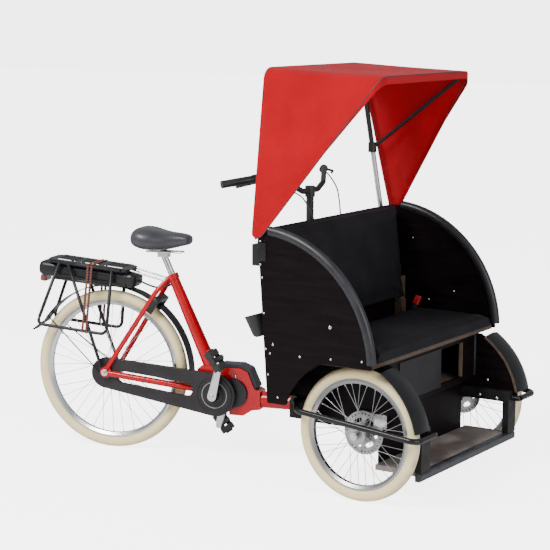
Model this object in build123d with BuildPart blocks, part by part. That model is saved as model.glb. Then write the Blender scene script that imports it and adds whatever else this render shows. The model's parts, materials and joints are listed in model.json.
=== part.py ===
from build123d import *
from math import atan2, cos, radians, sin, sqrt, tan
import os

os.makedirs("parts", exist_ok=True)

# Millimetres. X runs forward along the passenger box, Y to its left, Z up from the floor.
# The rear frame stands turned under the box, as a parked tricycle with its box steered right.
PARK_STEER = 15.0
PIVOT_REACH = 704.0

# Running gaps.
RUN = 0.05
SEAT_GAP = 0.3

# Wheels.
TYRE_W = 47.0
TYRE_TALL = 40.5
REAR_R = 326.0
FRONT_R = 250.0
RIM_W = 30.0
RIM_DEPTH = 19.0
SPOKES = 36
SPOKE_R = 1.1
FRONT_AXLE_X = 112.0
FRONT_STUB_R = 8.0
REAR_AXLE_R = 6.0
DISC_R = 82.0

# Rear frame, measured forward from the rear axle.
BB_AHEAD = 139.0
BB_OVER = 12.0
SEAT_SETBACK = 64.0
SEAT_TUBE_OVER = 78.0
SEAT_TUBE_R_TOP = 20.0
SEAT_TUBE_R_LOW = 28.0
POST_R = 13.5
POST_RISE = 78.0
SADDLE_RISE = 24.2
SADDLE_BACK = 19.0
SADDLE_H = 96.0
STAY_R = 10.0
CHAIN_STAY_R = 13.0
DROPOUT_Y = 75.0
DROPOUT_T = 6.0
MAIN_TUBE_DROP = 17.0
MAIN_TUBE_R = 33.0
HEAD_R = 34.0
HEAD_DOWN = 53.0
HEAD_UP = 55.0
KING_R = 14.0
MOTOR_R = 58.0
MOTOR_REACH = 72.0
CRADLE_RISE = 110.0
CRADLE_HALF = 36.0
CASE_IN = 46.0
CASE_T = 20.0
CASE_REAR_R = 62.0
CASE_FRONT_R = 86.0
CRANK_LEN = 165.0
CRANK_LEAN = 13.0
CRANK_T = 13.0
CRANK_Y = 84.0
SPINDLE_R = 15.0
PEDAL_AXLE_R = 5.0
PEDAL_L = 90.0
PEDAL_TURN = 55.0
GUARD_GAP = 19.0
GUARD_T = 3.0
GUARD_W = 58.0
GUARD_FRONT_DEG = -2.0
GUARD_REAR_DEG = 149.0

# Carrier over the rear wheel, on its own tilted frame.
CARRIER_X = -82.0
CARRIER_OVER_WHEEL = 110.0
CARRIER_TILT = 5.0
CARRIER_L = 356.0
CARRIER_W = 124.0
CARRIER_TUBE_R = 6.0
PANNIER_DROP = 272.0
BATTERY_L = 430.0
BATTERY_W = 104.0
BATTERY_H = 62.0
STRAP_W = 9.0
STRAP_T = 2.5

# Passenger box. Its wheels stand under the seat sides and its lower body between the wheels.
BOX_HALF = 504.0
PLY = 12.0
WHEEL_INSET = 79.0
LOWER_INSET = 128.0
BACK_REACH = 102.0
BACK_LEAN = 4.0
SEAT_OVER_WHEEL = 8.0
SEAT_BOARD_T = 16.0
SEAT_FRONT_X = 214.0
ARC_R = 481.0
ARC_SINK = 8.0
ARC_INSET = 4.8
TRIM_R = 14.0
CUSHION_INSET = 47.0
CUSHION_T = 46.0
EDGE_OVER = 72.0
EDGE_BACK = 62.0
EDGE_SINK = 24.0
ARCH_T = 4.0
ARCH_W = 96.0
RISER_X = 170.0
STORE_SIDE = 114.0
FLAP_T = 4.0
FOOT_T = 20.0
FOOT_DROP = 122.0
FOOT_SETBACK = 36.0
NOSING = 32.0
NOSING_T = 26.0
RAIL = 40.0
RAIL_RISE = 45.0
GUARD_BAR_R = 11.0
GUARD_BAR_AHEAD = 12.3

# Hood.
HOOD_LAP = 12.5
HOOD_DROP = 26.0
HOOD_RISE = 617.0
HOOD_TAPER = 167.0
HOOD_T = 3.0
HOOD_BEND = 60.0
HOOD_SLOPE = 2.6
BOW_R = 10.0
FRONT_BOW_R = 7.0

# Handlebar.
BAR_BEHIND = 88.0
BAR_RISE = 97.0
BAR_HALF = 364.0
BAR_POST_R = 15.0
BAR_R = 11.0
GRIP_R = 15.0
GRIP_L = 125.0

# Places that follow from the wheels.
bb_x = REAR_R + BB_AHEAD
bb_z = FRONT_R + BB_OVER
seat_top_x = REAR_R - SEAT_SETBACK
seat_top_z = 2 * REAR_R + SEAT_TUBE_OVER
pivot_from_axle = bb_x + PIVOT_REACH
back_foot_x = FRONT_AXLE_X - FRONT_R - BACK_REACH
foot_front = FRONT_AXLE_X + FRONT_R - FOOT_SETBACK

FRONT_PLACE = Location((0, 0, 0))
REAR_PLACE = Location((0, 0, 0), (0, 0, PARK_STEER)) * Location((-pivot_from_axle, 0, 0))
pieces = []


def keep(piece, label, place):
    """Puts a finished piece in its place and names it."""
    placed = piece.moved(place)
    placed.label = label
    pieces.append(placed)


def rod(start, end, radius):
    """A straight round bar between two points."""
    run = Vector(*end) - Vector(*start)
    with BuildPart(Plane(Vector(*start), z_dir=run)) as bar:
        Cylinder(radius, run.length, align=(Align.CENTER, Align.CENTER, Align.MIN))
    return bar.part


def tube(points, radius, bend):
    """A round bar along straight runs with bends between them."""
    with BuildPart() as bar:
        with BuildLine() as path:
            FilletPolyline(*points, radius=bend)
        with BuildSketch(Plane(path.line @ 0, z_dir=path.line % 0)):
            Circle(radius)
        sweep()
    return bar.part


def plate(outline, y_near, y_far):
    """A flat plate with a side outline of (x, z) points, between two y values."""
    with BuildPart() as sheet:
        with BuildSketch(Plane.XZ.offset(-y_far)):
            with BuildLine():
                Polyline(*outline, close=True)
            make_face()
        extrude(amount=y_far - y_near)
    return sheet.part


def block(x_low, x_high, y_low, y_high, z_low, z_high):
    """A box between limits."""
    middle = ((x_low + x_high) / 2, (y_low + y_high) / 2, (z_low + z_high) / 2)
    with BuildPart() as brick:
        with Locations(middle):
            Box(x_high - x_low, y_high - y_low, z_high - z_low)
    return brick.part


def side_block(side, x_low, x_high, y_in, y_out, z_low, z_high):
    """A box on one side, with its y limits counted outwards from the middle."""
    y_low, y_high = sorted((side * y_in, side * y_out))
    return block(x_low, x_high, y_low, y_high, z_low, z_high)


def disc(x, z, radius, y_low, y_high):
    """A round disc about a cross axis."""
    return rod((x, y_low, z), (x, y_high, z), radius)


def ring(x, y, z, section):
    """A ring turned about a cross axis from (radius, offset) points."""
    with BuildPart() as turned:
        with BuildSketch(Plane((x, y, z), x_dir=(0, 0, 1), z_dir=(1, 0, 0))):
            with BuildLine():
                Polyline(*[(r, -w) for r, w in section], close=True)
            make_face()
        revolve(axis=Axis((x, y, z), (0, 1, 0)))
    return turned.part


def tyre_ring(x, y, z, radius):
    """A plain tyre whose bore is the rim's outer face."""
    half = TYRE_W / 2
    bore = radius - TYRE_TALL
    # Height above the bore and half width, as shares of the tyre's.
    shares = [(0.173, 0.82), (0.395, 1.0), (0.667, 0.9), (0.889, 0.55), (1.0, 0.18)]
    right = [(bore, -RIM_W / 2 + 2)] + [(bore + TYRE_TALL * up, -half * out) for up, out in shares]
    section = right + [(r, -w) for r, w in reversed(right)]
    return ring(x, y, z, section)


def rim_ring(x, y, z, radius):
    """A box rim under the tyre."""
    top = radius - TYRE_TALL
    half = RIM_W / 2
    section = [
        (top, -half + 2),
        (top - 8, -half),
        (top - RIM_DEPTH, -half + 7),
        (top - RIM_DEPTH, half - 7),
        (top - 8, half),
        (top, half - 2),
    ]
    return ring(x, y, z, section)


def wire_hub(x, y, z, radius, section, flange_r, flange_w):
    """A hub turned about its axle and laced to the rim with crossing spokes."""
    rim_r = radius - TYRE_TALL - RIM_DEPTH + 0.6
    hub_r = flange_r - 4
    spokes = []
    for count in range(SPOKES):
        side = 1 if count % 2 else -1
        cross = 52.0 if count % 4 < 2 else -52.0
        rim_a = radians(360.0 * count / SPOKES)
        hub_a = rim_a + radians(cross)
        start = (x + hub_r * cos(hub_a), y + side * flange_w, z + hub_r * sin(hub_a))
        end = (x + rim_r * cos(rim_a), y + side * 2.5, z + rim_r * sin(rim_a))
        spokes.append(rod(start, end, SPOKE_R))
    with BuildPart() as hub:
        add(ring(x, y, z, section))
        add(spokes)
        add(rim_ring(x, y, z, radius))
    return hub.part


def both_sides(piece):
    """A piece and its mirror image on the other side."""
    with BuildPart() as pair:
        add(piece)
        mirror(about=Plane.XZ)
    return pair.part


# Rear frame: motor cradle, seat tube, main tube with head, stays.
main_tube_z = bb_z - MAIN_TUBE_DROP
head_low = main_tube_z - HEAD_DOWN
head_top = main_tube_z + HEAD_UP
cradle_top = bb_z + CRADLE_RISE
motor_x = bb_x + MOTOR_REACH
motor_z = bb_z + 8.0
nose_x = motor_x + 110.0
cradle_back = bb_x - 82.0
with BuildPart() as motor_block:
    with BuildSketch(Plane.XZ.offset(-CRADLE_HALF + 1)):
        with BuildLine():
            CenterArc((bb_x, bb_z), MOTOR_R, 0, 360)
            CenterArc((motor_x, motor_z), MOTOR_R, 0, 360)
        make_hull()
    extrude(amount=CRADLE_HALF - 1 + CASE_IN - SEAT_GAP)
    add(disc(bb_x, bb_z, SPINDLE_R + RUN, -100, 100), mode=Mode.SUBTRACT)
keep(motor_block.part, "drive_motor", REAR_PLACE)

cradle_outline = [
    (cradle_back, bb_z - 20),
    (cradle_back, cradle_top - 14),
    (cradle_back + 16, cradle_top),
    (motor_x + 25, cradle_top),
    (motor_x + 58, cradle_top - 14),
    (nose_x - 24, bb_z + 30),
    (nose_x, main_tube_z + 36),
    (nose_x, main_tube_z - 36),
    (nose_x - 34, bb_z - 58),
    (nose_x - 70, bb_z - 82),
    (motor_x - 20, bb_z - 82),
    (motor_x - 20, bb_z - 30),
]
with BuildPart() as cradle:
    add(plate(cradle_outline, -CRADLE_HALF, CRADLE_HALF))
    add(motor_block.part, mode=Mode.SUBTRACT)
    add(disc(bb_x, bb_z, 30, -100, 100), mode=Mode.SUBTRACT)

seat_low = Vector(bb_x - 35, 0, cradle_top - 12)
seat_high = Vector(seat_top_x, 0, seat_top_z)
seat_run = seat_high - seat_low
seat_dir = seat_run.normalized()
pivot_low = (pivot_from_axle, 0, head_low)
pivot_top = (pivot_from_axle, 0, head_top)
with BuildPart() as frame_body:
    with BuildPart(Plane(seat_low, z_dir=seat_run)):
        lower_end = (Align.CENTER, Align.CENTER, Align.MIN)
        Cone(SEAT_TUBE_R_LOW, SEAT_TUBE_R_TOP, seat_run.length, align=lower_end)
    add(cradle.part)
    add(rod((nose_x - 2, 0, main_tube_z), (pivot_from_axle, 0, main_tube_z), MAIN_TUBE_R))
    add(rod(pivot_low, pivot_top, HEAD_R))
    add(rod(pivot_low, pivot_top, KING_R + RUN), mode=Mode.SUBTRACT)
    add(rod(seat_high - seat_dir * 22, seat_high, SEAT_TUBE_R_TOP + 4))
    add(rod(seat_high - seat_dir * 190, seat_high + seat_dir * 5, POST_R + RUN), mode=Mode.SUBTRACT)
keep(frame_body.part, "rear_frame", REAR_PLACE)

# Rear axle, free at both ends for trailer or stand fittings.
axle_reach = DROPOUT_Y + DROPOUT_T / 2
with BuildPart() as rear_axle:
    add(disc(0, REAR_R, REAR_AXLE_R, -axle_reach - 26, axle_reach + 26))
    add(disc(0, REAR_R, 14, axle_reach, axle_reach + 12))
    add(disc(0, REAR_R, 14, -axle_reach - 12, -axle_reach))
keep(rear_axle.part, "rear_axle", REAR_PLACE)

seat_stay_path = [
    (3, -DROPOUT_Y, REAR_R + 12),
    (seat_top_x - 50, -47, seat_top_z - 66),
    (seat_top_x - 8, -14, seat_top_z - 14),
]
chain_stay_path = [
    (8, -DROPOUT_Y, REAR_R - 4),
    (cradle_back - 65, -41, bb_z + 21),
    (cradle_back + 6, -26, bb_z + 10),
]
guard_in_r = REAR_R + GUARD_GAP
with BuildPart() as seat_stay:
    add(tube(seat_stay_path, STAY_R, 60))
    add(frame_body.part, mode=Mode.SUBTRACT)
    add(rear_axle.part, mode=Mode.SUBTRACT)
bridge_r = guard_in_r + GUARD_T + 6 + SEAT_GAP
stay_foot = Vector(*seat_stay_path[0])
stay_dir = (Vector(*seat_stay_path[1]) - stay_foot).normalized()
stay_flat = stay_dir.X ** 2 + stay_dir.Z ** 2
stay_lean = stay_dir.X * stay_foot.X + stay_dir.Z * (stay_foot.Z - REAR_R)
stay_short = stay_foot.X ** 2 + (stay_foot.Z - REAR_R) ** 2 - bridge_r ** 2
bridge_end = stay_foot + stay_dir * ((sqrt(stay_lean ** 2 - stay_flat * stay_short) - stay_lean) / stay_flat)
with BuildPart() as seat_stays:
    add(seat_stay.part)
    mirror(about=Plane.XZ)
    add(disc(bridge_end.X, bridge_end.Z, 6, bridge_end.Y, -bridge_end.Y))
with BuildPart() as chain_stay:
    add(tube(chain_stay_path, CHAIN_STAY_R, 80))
    add(disc(0, REAR_R, 24, -DROPOUT_Y - DROPOUT_T / 2, -DROPOUT_Y + DROPOUT_T / 2))
    add(frame_body.part, mode=Mode.SUBTRACT)
    add(seat_stay.part, mode=Mode.SUBTRACT)
    add(rear_axle.part, mode=Mode.SUBTRACT)
keep(seat_stays.part, "seat_stays", REAR_PLACE)
keep(both_sides(chain_stay.part), "chain_stays", REAR_PLACE)

# Rear wheel.
keep(tyre_ring(0, 0, REAR_R, REAR_R), "rear_tyre", REAR_PLACE)
rear_hub = [
    (REAR_AXLE_R + RUN, -38), (18, -38), (18, -31), (36, -31), (36, -27), (26, -27), (26, 27),
    (36, 27), (36, 31), (18, 31), (18, 60), (REAR_AXLE_R + RUN, 60),
]
keep(wire_hub(0, 0, REAR_R, REAR_R, rear_hub, 36.0, 29.0), "rear_wheel", REAR_PLACE)

# Chain case: a closed loop round both chain runs, open in the middle.
with BuildPart() as chain_case:
    with BuildSketch(Plane.XZ.offset(CASE_IN)):
        with BuildLine():
            CenterArc((-4, REAR_R - 6), CASE_REAR_R, 0, 360)
            CenterArc((bb_x, bb_z), CASE_FRONT_R, 0, 360)
        make_hull()
    extrude(amount=CASE_T)
    with BuildSketch(Plane.XZ.offset(CASE_IN - 5)):
        with BuildLine():
            CenterArc((CASE_REAR_R + 8, REAR_R - 19), 25, 0, 360)
            CenterArc((bb_x - CASE_FRONT_R - 35, bb_z + 15), 28, 0, 360)
        make_hull()
    extrude(amount=CASE_T + 10, mode=Mode.SUBTRACT)
    add(disc(bb_x, bb_z, 38, -CASE_IN - CASE_T - 4, -CASE_IN))
    add(motor_block.part, mode=Mode.SUBTRACT)
    add(disc(bb_x, bb_z, 22, -120, 0), mode=Mode.SUBTRACT)
    add(disc(0, REAR_R, REAR_AXLE_R + 1, -120, 0), mode=Mode.SUBTRACT)
    add(chain_stay.part, mode=Mode.SUBTRACT)
    add(seat_stay.part, mode=Mode.SUBTRACT)
    add(frame_body.part, mode=Mode.SUBTRACT)
keep(chain_case.part, "chain_case", REAR_PLACE)

# Motor cover: a dark cap along the top of the cradle.
cover_outline = [
    (motor_x - 62, cradle_top),
    (motor_x + 25, cradle_top),
    (motor_x + 58, cradle_top - 14),
    (nose_x - 24, bb_z + 30),
    (nose_x - 12, bb_z + 36),
    (motor_x + 66, cradle_top - 2),
    (motor_x + 28, cradle_top + 14),
    (motor_x - 56, cradle_top + 14),
]
cover_half = CRADLE_HALF - 6
keep(plate(cover_outline, -cover_half, cover_half), "motor_cover", REAR_PLACE)

# Cranks and pedals.
lean = radians(CRANK_LEAN)
pedal_dx = CRANK_LEN * sin(lean)
pedal_dz = CRANK_LEN * cos(lean)
crank_out = CRANK_Y + CRANK_T


def crank_arm(x_end, z_end, y_low):
    """One tapered arm from the spindle to the pedal."""
    with BuildPart() as arm:
        with BuildSketch(Plane.XZ.offset(-y_low - CRANK_T)):
            with BuildLine():
                CenterArc((bb_x, bb_z), SPINDLE_R + 3, 0, 360)
                CenterArc((x_end, z_end), 12, 0, 360)
            make_hull()
        extrude(amount=CRANK_T)
    return arm.part


with BuildPart() as crank_arms:
    add(disc(bb_x, bb_z, SPINDLE_R, -CRANK_Y - 2, CRANK_Y + 2))
    for side, y_low in ((-1, -crank_out), (1, CRANK_Y)):
        x_end = bb_x - side * pedal_dx
        z_end = bb_z - side * pedal_dz
        add(crank_arm(x_end, z_end, y_low))
        y_near, y_far = sorted((side * (CRANK_Y + 4), side * (crank_out + PEDAL_L + 2)))
        add(disc(x_end, z_end, PEDAL_AXLE_R, y_near, y_far))
keep(crank_arms.part, "crank_arms", REAR_PLACE)


def pedal(x, z, side):
    """A platform pedal with two tread blocks, turning on its spindle."""
    near = crank_out + 5
    far = near + PEDAL_L
    with BuildPart() as body:
        y_near, y_far = sorted((side * near, side * far))
        add(disc(x, z, 12, y_near, y_far))
        for dx in (-30, 30):
            add(side_block(side, x + dx - 12, x + dx + 12, near + 4, far - 2, z - 13, z + 13))
        for y in (near + 5, far - 10):
            add(side_block(side, x - 30, x + 30, y, y + 7, z - 10, z + 10))
        for dx in (-44, 44):
            add(side_block(side, x + dx - 3, x + dx + 3, near + 24, far - 24, z - 8, z + 8))
        y_near, y_far = sorted((side * (near - 5), side * (far - 2)))
        add(disc(x, z, PEDAL_AXLE_R + RUN, y_near, y_far), mode=Mode.SUBTRACT)
    return body.part.rotate(Axis((x, 0, z), (0, 1, 0)), PEDAL_TURN)


keep(pedal(bb_x + pedal_dx, bb_z + pedal_dz, -1), "pedal_right", REAR_PLACE)
keep(pedal(bb_x - pedal_dx, bb_z - pedal_dz, 1), "pedal_left", REAR_PLACE)

# Rear mudguard with its flap and stays.
with BuildPart() as guard_arc:
    with BuildSketch(Plane.XY):
        with Locations((guard_in_r + GUARD_T / 2, 0)):
            Rectangle(GUARD_T, GUARD_W)
    revolve(axis=Axis((0, 0, 0), (0, -1, 0)), revolution_arc=GUARD_REAR_DEG - GUARD_FRONT_DEG)
guard_turn = Location((0, 0, REAR_R)) * Location((0, 0, 0), (0, -GUARD_FRONT_DEG, 0))
tip_a = radians(GUARD_REAR_DEG)
tip_r = guard_in_r + GUARD_T / 2
tip_x = tip_r * cos(tip_a)
tip_z = REAR_R + tip_r * sin(tip_a)
flap_outline = [
    (tip_x - 2, tip_z + 6), (tip_x + 4, tip_z + 3), (tip_x - 48, tip_z - 36), (tip_x - 51, tip_z - 31),
]
stay_a = radians(143.0)
stay_r = guard_in_r + GUARD_T
stay_y = axle_reach + 2.5 + SEAT_GAP
with BuildPart() as mudguard:
    add(guard_arc.part.moved(guard_turn))
    add(plate(flap_outline, -GUARD_W / 2 + 3, GUARD_W / 2 - 3))
    for side in (-1, 1):
        stay_top = (stay_r * cos(stay_a), side * (GUARD_W / 2 - 1), REAR_R + stay_r * sin(stay_a))
        add(rod((-24, side * stay_y, REAR_R - 2), stay_top, 2.5))
keep(mudguard.part, "rear_mudguard", REAR_PLACE)

# Carrier on a tilted frame of its own.
carrier_z = 2 * REAR_R + CARRIER_OVER_WHEEL
CARRIER_TURN = Location((CARRIER_X, 0, carrier_z), (0, CARRIER_TILT, 0))
CARRIER_PLACE = REAR_PLACE * CARRIER_TURN
deck_half = CARRIER_L / 2
deck_side = CARRIER_W / 2
with BuildPart() as carrier_deck:
    with BuildSketch(Plane.XY.offset(-CARRIER_TUBE_R)):
        RectangleRounded(CARRIER_L, CARRIER_W, 26)
        offset(amount=-2 * CARRIER_TUBE_R, mode=Mode.SUBTRACT)
    extrude(amount=CARRIER_TUBE_R, both=True)
    with BuildSketch(Plane.XY.offset(-2)):
        Rectangle(CARRIER_L - 14, CARRIER_W - 14)
        with GridLocations(CARRIER_L * 0.292, CARRIER_W * 0.274, 3, 3):
            SlotOverall(CARRIER_L * 0.236, CARRIER_W * 0.129, mode=Mode.SUBTRACT)
    extrude(amount=2)
keep(carrier_deck.part, "carrier_deck", CARRIER_PLACE)

battery_x = -8.0
battery_top = -CARRIER_TUBE_R * 2 - SEAT_GAP - 3
battery_z = battery_top - BATTERY_H / 2
with BuildPart() as battery:
    with Locations((battery_x, 0, battery_z)):
        Box(BATTERY_L, BATTERY_W, BATTERY_H)
    fillet(battery.edges().filter_by(Axis.X), 12)
    fillet(battery.faces().sort_by(Axis.X)[-1].edges(), 8)
    fillet(battery.faces().sort_by(Axis.X)[0].edges(), 8)
keep(battery.part, "battery", CARRIER_PLACE)

side_y = deck_side + CARRIER_TUBE_R + SEAT_GAP
loop_y = side_y + 12
leg_y = axle_reach + 5 + SEAT_GAP
leg_foot = (CARRIER_TURN.inverse() * Location((-15, -leg_y, REAR_R + 17))).position
pannier_path = [
    (deck_half - 66, -side_y, -CARRIER_TUBE_R),
    (deck_half - 66, -loop_y, -PANNIER_DROP),
    (-deck_half - 18, -loop_y, -PANNIER_DROP),
    (-deck_half + 60, -side_y, -CARRIER_TUBE_R),
]
rail_rear = (-deck_half + 20, -side_y, -CARRIER_TUBE_R)
rail_front = (deck_half - 30, -side_y, -CARRIER_TUBE_R)
with BuildPart() as carrier_side:
    add(rod(rail_rear, rail_front, CARRIER_TUBE_R))
    add(tube(pannier_path, 5, 22))
    add(rod((-82, -side_y, -CARRIER_TUBE_R), leg_foot, 5))
keep(both_sides(carrier_side.part), "carrier_sides", CARRIER_PLACE)

# Seat post, clamp, saddle.
post_top = seat_high + seat_dir * POST_RISE
saddle_z = post_top.Z + SADDLE_RISE
saddle_x = post_top.X - SADDLE_BACK
rail_z = saddle_z - 4 - SEAT_GAP
with BuildPart() as seat_post:
    add(rod(seat_high - seat_dir * 150, post_top, POST_R))
    with Locations((post_top.X - 2, 0, post_top.Z + 8)):
        Box(44, 34, 20)
    for side in (-1, 1):
        add(rod((post_top.X - 70, side * 22, rail_z), (post_top.X + 80, side * 14, rail_z), 4))
keep(seat_post.part, "seat_post", REAR_PLACE)
with BuildPart() as saddle:
    with BuildSketch(Plane.XY.offset(saddle_z)):
        with BuildLine():
            CenterArc((saddle_x - 52, 50), 54, 0, 360)
            CenterArc((saddle_x - 52, -50), 54, 0, 360)
            CenterArc((saddle_x + 112, 0), 22, 0, 360)
        make_hull()
    extrude(amount=SADDLE_H)
    fillet(saddle.faces().sort_by(Axis.Z)[-1].edges(), 21)
keep(saddle.part, "saddle", REAR_PLACE)

# Heights and widths of the box that follow from the wheels and the box's half width.
wheel_y = BOX_HALF - WHEEL_INSET
lower_half = BOX_HALF - LOWER_INSET
side_in = BOX_HALF - PLY
inner = lower_half - PLY
cushion_half = BOX_HALF - CUSHION_INSET
seat_board_z = 2 * FRONT_R + SEAT_OVER_WHEEL
seat_top = seat_board_z + SEAT_BOARD_T
tub_low = seat_board_z + 4
arc_z = seat_board_z - ARC_SINK
top_back = arc_z + ARC_R
edge_r = FRONT_R + EDGE_OVER
edge_x = FRONT_AXLE_X - EDGE_BACK
edge_z = FRONT_R - EDGE_SINK
lower_low = FRONT_R + 5
skirt_low = FRONT_R + 88
store_floor_z = FRONT_R + 86
foot_top = FRONT_R - FOOT_DROP
rail_top = FRONT_R + RAIL_RISE
rail_low = rail_top - RAIL

# Front chassis: side rails, axle beam, cross members, pivot plates, front posts.
rail_rear = back_foot_x + 8
post_front = foot_front + NOSING_T
top_plate = head_top + 6
low_plate = head_low - 6
beam_front = FRONT_AXLE_X + 20
with BuildPart() as front_chassis:
    for side in (-1, 1):
        add(side_block(side, rail_rear, post_front, inner - RAIL, inner, rail_low, rail_top))
        add(side_block(side, foot_front, post_front, inner - RAIL, lower_half + 14, foot_top, rail_low))
    add(block(FRONT_AXLE_X - 20, beam_front, -inner, inner, FRONT_R - 20, FRONT_R + 20))
    add(block(rail_rear, rail_rear + 36, -inner, inner, rail_top, rail_top + 28))
    add(block(-42, beam_front, -42, 42, top_plate, top_plate + 10))
    add(block(FRONT_AXLE_X - 44, beam_front, -42, 42, low_plate - 10, top_plate))
    add(block(-42, beam_front, -42, 42, low_plate - 10, low_plate))
    add(rod((0, 0, low_plate - 60), (0, 0, top_plate + 60), KING_R), mode=Mode.SUBTRACT)
keep(front_chassis.part, "front_chassis", FRONT_PLACE)
with BuildPart() as steering_pin:
    add(rod((0, 0, low_plate - 22), (0, 0, top_plate + 12), KING_R))
    add(rod((0, 0, low_plate - 22), (0, 0, low_plate - 10), 24))
keep(steering_pin.part, "steering_pin", FRONT_PLACE)

# Front wheels with brake discs, on stub axles.
front_hub = [
    (FRONT_STUB_R + RUN, -37), (22, -37), (22, -21), (36, -21), (36, -17), (17, -17), (17, 17),
    (36, 17), (36, 21), (15, 21), (15, 34), (FRONT_STUB_R + RUN, 34),
]
disc_y = wheel_y - 33
for side, name in ((-1, "right"), (1, "left")):
    section = [(r, side * w) for r, w in front_hub]
    keep(tyre_ring(FRONT_AXLE_X, side * wheel_y, FRONT_R, FRONT_R), "tyre_" + name, FRONT_PLACE)
    with BuildPart() as front_wheel:
        add(wire_hub(FRONT_AXLE_X, side * wheel_y, FRONT_R, FRONT_R, section, 36.0, 19.0))
        with BuildSketch(Plane.XZ.offset(-side * disc_y - 1)):
            with Locations((FRONT_AXLE_X, FRONT_R)):
                Circle(DISC_R)
                Circle(20, mode=Mode.SUBTRACT)
                with PolarLocations(DISC_R * 0.6, 6):
                    SlotOverall(DISC_R * 0.415, DISC_R * 0.195, rotation=90, mode=Mode.SUBTRACT)
        extrude(amount=2)
    keep(front_wheel.part, "wheel_" + name, FRONT_PLACE)

with BuildPart() as stub:
    add(disc(FRONT_AXLE_X, FRONT_R, FRONT_STUB_R, -wheel_y - 46, -inner))
    add(disc(FRONT_AXLE_X, FRONT_R, FRONT_STUB_R + 6, -wheel_y - 44, -wheel_y - 35))
    add(disc(FRONT_AXLE_X, FRONT_R, FRONT_STUB_R + 12, -lower_half - 6, -inner))
keep(both_sides(stub.part), "front_axle_stubs", FRONT_PLACE)


def back_x(z):
    """Rear face of the back wall at a height."""
    return back_foot_x - (z - skirt_low) * sin(radians(BACK_LEAN))


# Upper sides with their quarter-round front edges.
arc_x = back_x(top_back) + ARC_INSET
arc_out = arc_x + sqrt(ARC_R ** 2 - (tub_low - arc_z) ** 2)
arc_middle = (arc_x + ARC_R * cos(radians(46)), arc_z + ARC_R * sin(radians(46)))
tub_sides = []
for side in (-1, 1):
    with BuildPart() as panel:
        with BuildSketch(Plane.XZ.offset(-side * (BOX_HALF - PLY / 2) - PLY / 2)):
            with BuildLine():
                Polyline((arc_out, tub_low), (back_x(tub_low), tub_low), (back_x(top_back), top_back),
                         (arc_x, top_back))
                ThreePointArc((arc_x, top_back), arc_middle, (arc_out, tub_low))
            make_face()
        extrude(amount=PLY)
    tub_sides.append(panel.part)
with BuildPart() as tub_side_pair:
    add(tub_sides)
keep(tub_side_pair.part, "tub_sides", FRONT_PLACE)

# Back wall, leaning, between the sides, and the seat board in front of it.
wall_top = top_back - 4
back_outline = [
    (back_x(skirt_low), skirt_low),
    (back_x(wall_top), wall_top),
    (back_x(wall_top) + PLY, wall_top),
    (back_x(skirt_low) + PLY, skirt_low),
]
behind_back = [
    (back_foot_x - 160, skirt_low),
    (back_x(skirt_low) + PLY, skirt_low),
    (back_x(top_back) + PLY, top_back),
    (back_foot_x - 160, top_back),
]
tub_back = plate(back_outline, -side_in, side_in)
keep(tub_back, "tub_back", FRONT_PLACE)
with BuildPart() as seat_board:
    add(block(back_foot_x, SEAT_FRONT_X - 24, -side_in, side_in, seat_board_z, seat_top))
    add(plate(behind_back, -BOX_HALF, BOX_HALF), mode=Mode.SUBTRACT)
keep(seat_board.part, "seat_board", FRONT_PLACE)

# Rubber edging over the round front edges.
with BuildPart() as edging:
    with BuildSketch(Plane((arc_x, -BOX_HALF + PLY / 2, arc_z), x_dir=(1, 0, 0), z_dir=(0, 0, 1))):
        with Locations((ARC_R + 1, 0)):
            Circle(TRIM_R)
    revolve(axis=Axis((arc_x, 0, arc_z), (0, -1, 0)), revolution_arc=82)
    add(tub_sides[0], mode=Mode.SUBTRACT)
    add(seat_board.part, mode=Mode.SUBTRACT)
keep(both_sides(edging.part), "tub_edge_trims", FRONT_PLACE)

# Lower sides with the round front edge over the wheel, cut clear of the axle.
arch_top_x = edge_x + sqrt(edge_r ** 2 - (seat_board_z - edge_z) ** 2)
arch_front = edge_x + sqrt(edge_r ** 2 - (lower_low - edge_z) ** 2)
arch_mid = (edge_x + edge_r * cos(radians(30)), edge_z + edge_r * sin(radians(30)))
with BuildPart() as lower_side:
    with BuildSketch(Plane.XZ.offset(inner)):
        with BuildLine():
            Polyline((arch_front, lower_low), (back_foot_x + 90, lower_low), (back_foot_x + 25, skirt_low),
                     (back_foot_x + 25, seat_board_z), (arch_top_x, seat_board_z))
            ThreePointArc((arch_top_x, seat_board_z), arch_mid, (arch_front, lower_low))
        make_face()
        with Locations((FRONT_AXLE_X, FRONT_R)):
            Circle(46, mode=Mode.SUBTRACT)
    extrude(amount=PLY)
keep(both_sides(lower_side.part), "lower_sides", FRONT_PLACE)

# Mudguard strips on the round front edges, reaching out over the front wheels.
strip_a = radians(11.5)
strip_foot = Plane(
    (edge_x, 0, edge_z), x_dir=(cos(strip_a), 0, sin(strip_a)), z_dir=(-sin(strip_a), 0, cos(strip_a))
)
with BuildPart() as wheel_arch:
    with BuildSketch(strip_foot):
        with Locations((edge_r + ARCH_T / 2, -lower_half - ARCH_W / 2 + PLY / 2)):
            Rectangle(ARCH_T, ARCH_W + PLY)
    revolve(axis=Axis((edge_x, 0, edge_z), (0, -1, 0)), revolution_arc=46)
keep(both_sides(wheel_arch.part), "wheel_arches", FRONT_PLACE)

# Rear skirts that carry the sides down behind the wheels, cut round them.
skirt_outline = [
    (back_x(skirt_low), skirt_low),
    (back_x(tub_low), tub_low),
    (FRONT_AXLE_X - 110, tub_low),
    (FRONT_AXLE_X - 110, skirt_low),
]
with BuildPart() as skirt:
    add(plate(skirt_outline, -BOX_HALF, -side_in))
    add(disc(FRONT_AXLE_X, FRONT_R, FRONT_R + 36, -BOX_HALF, -lower_half), mode=Mode.SUBTRACT)
keep(both_sides(skirt.part), "rear_skirts", FRONT_PLACE)

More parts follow.
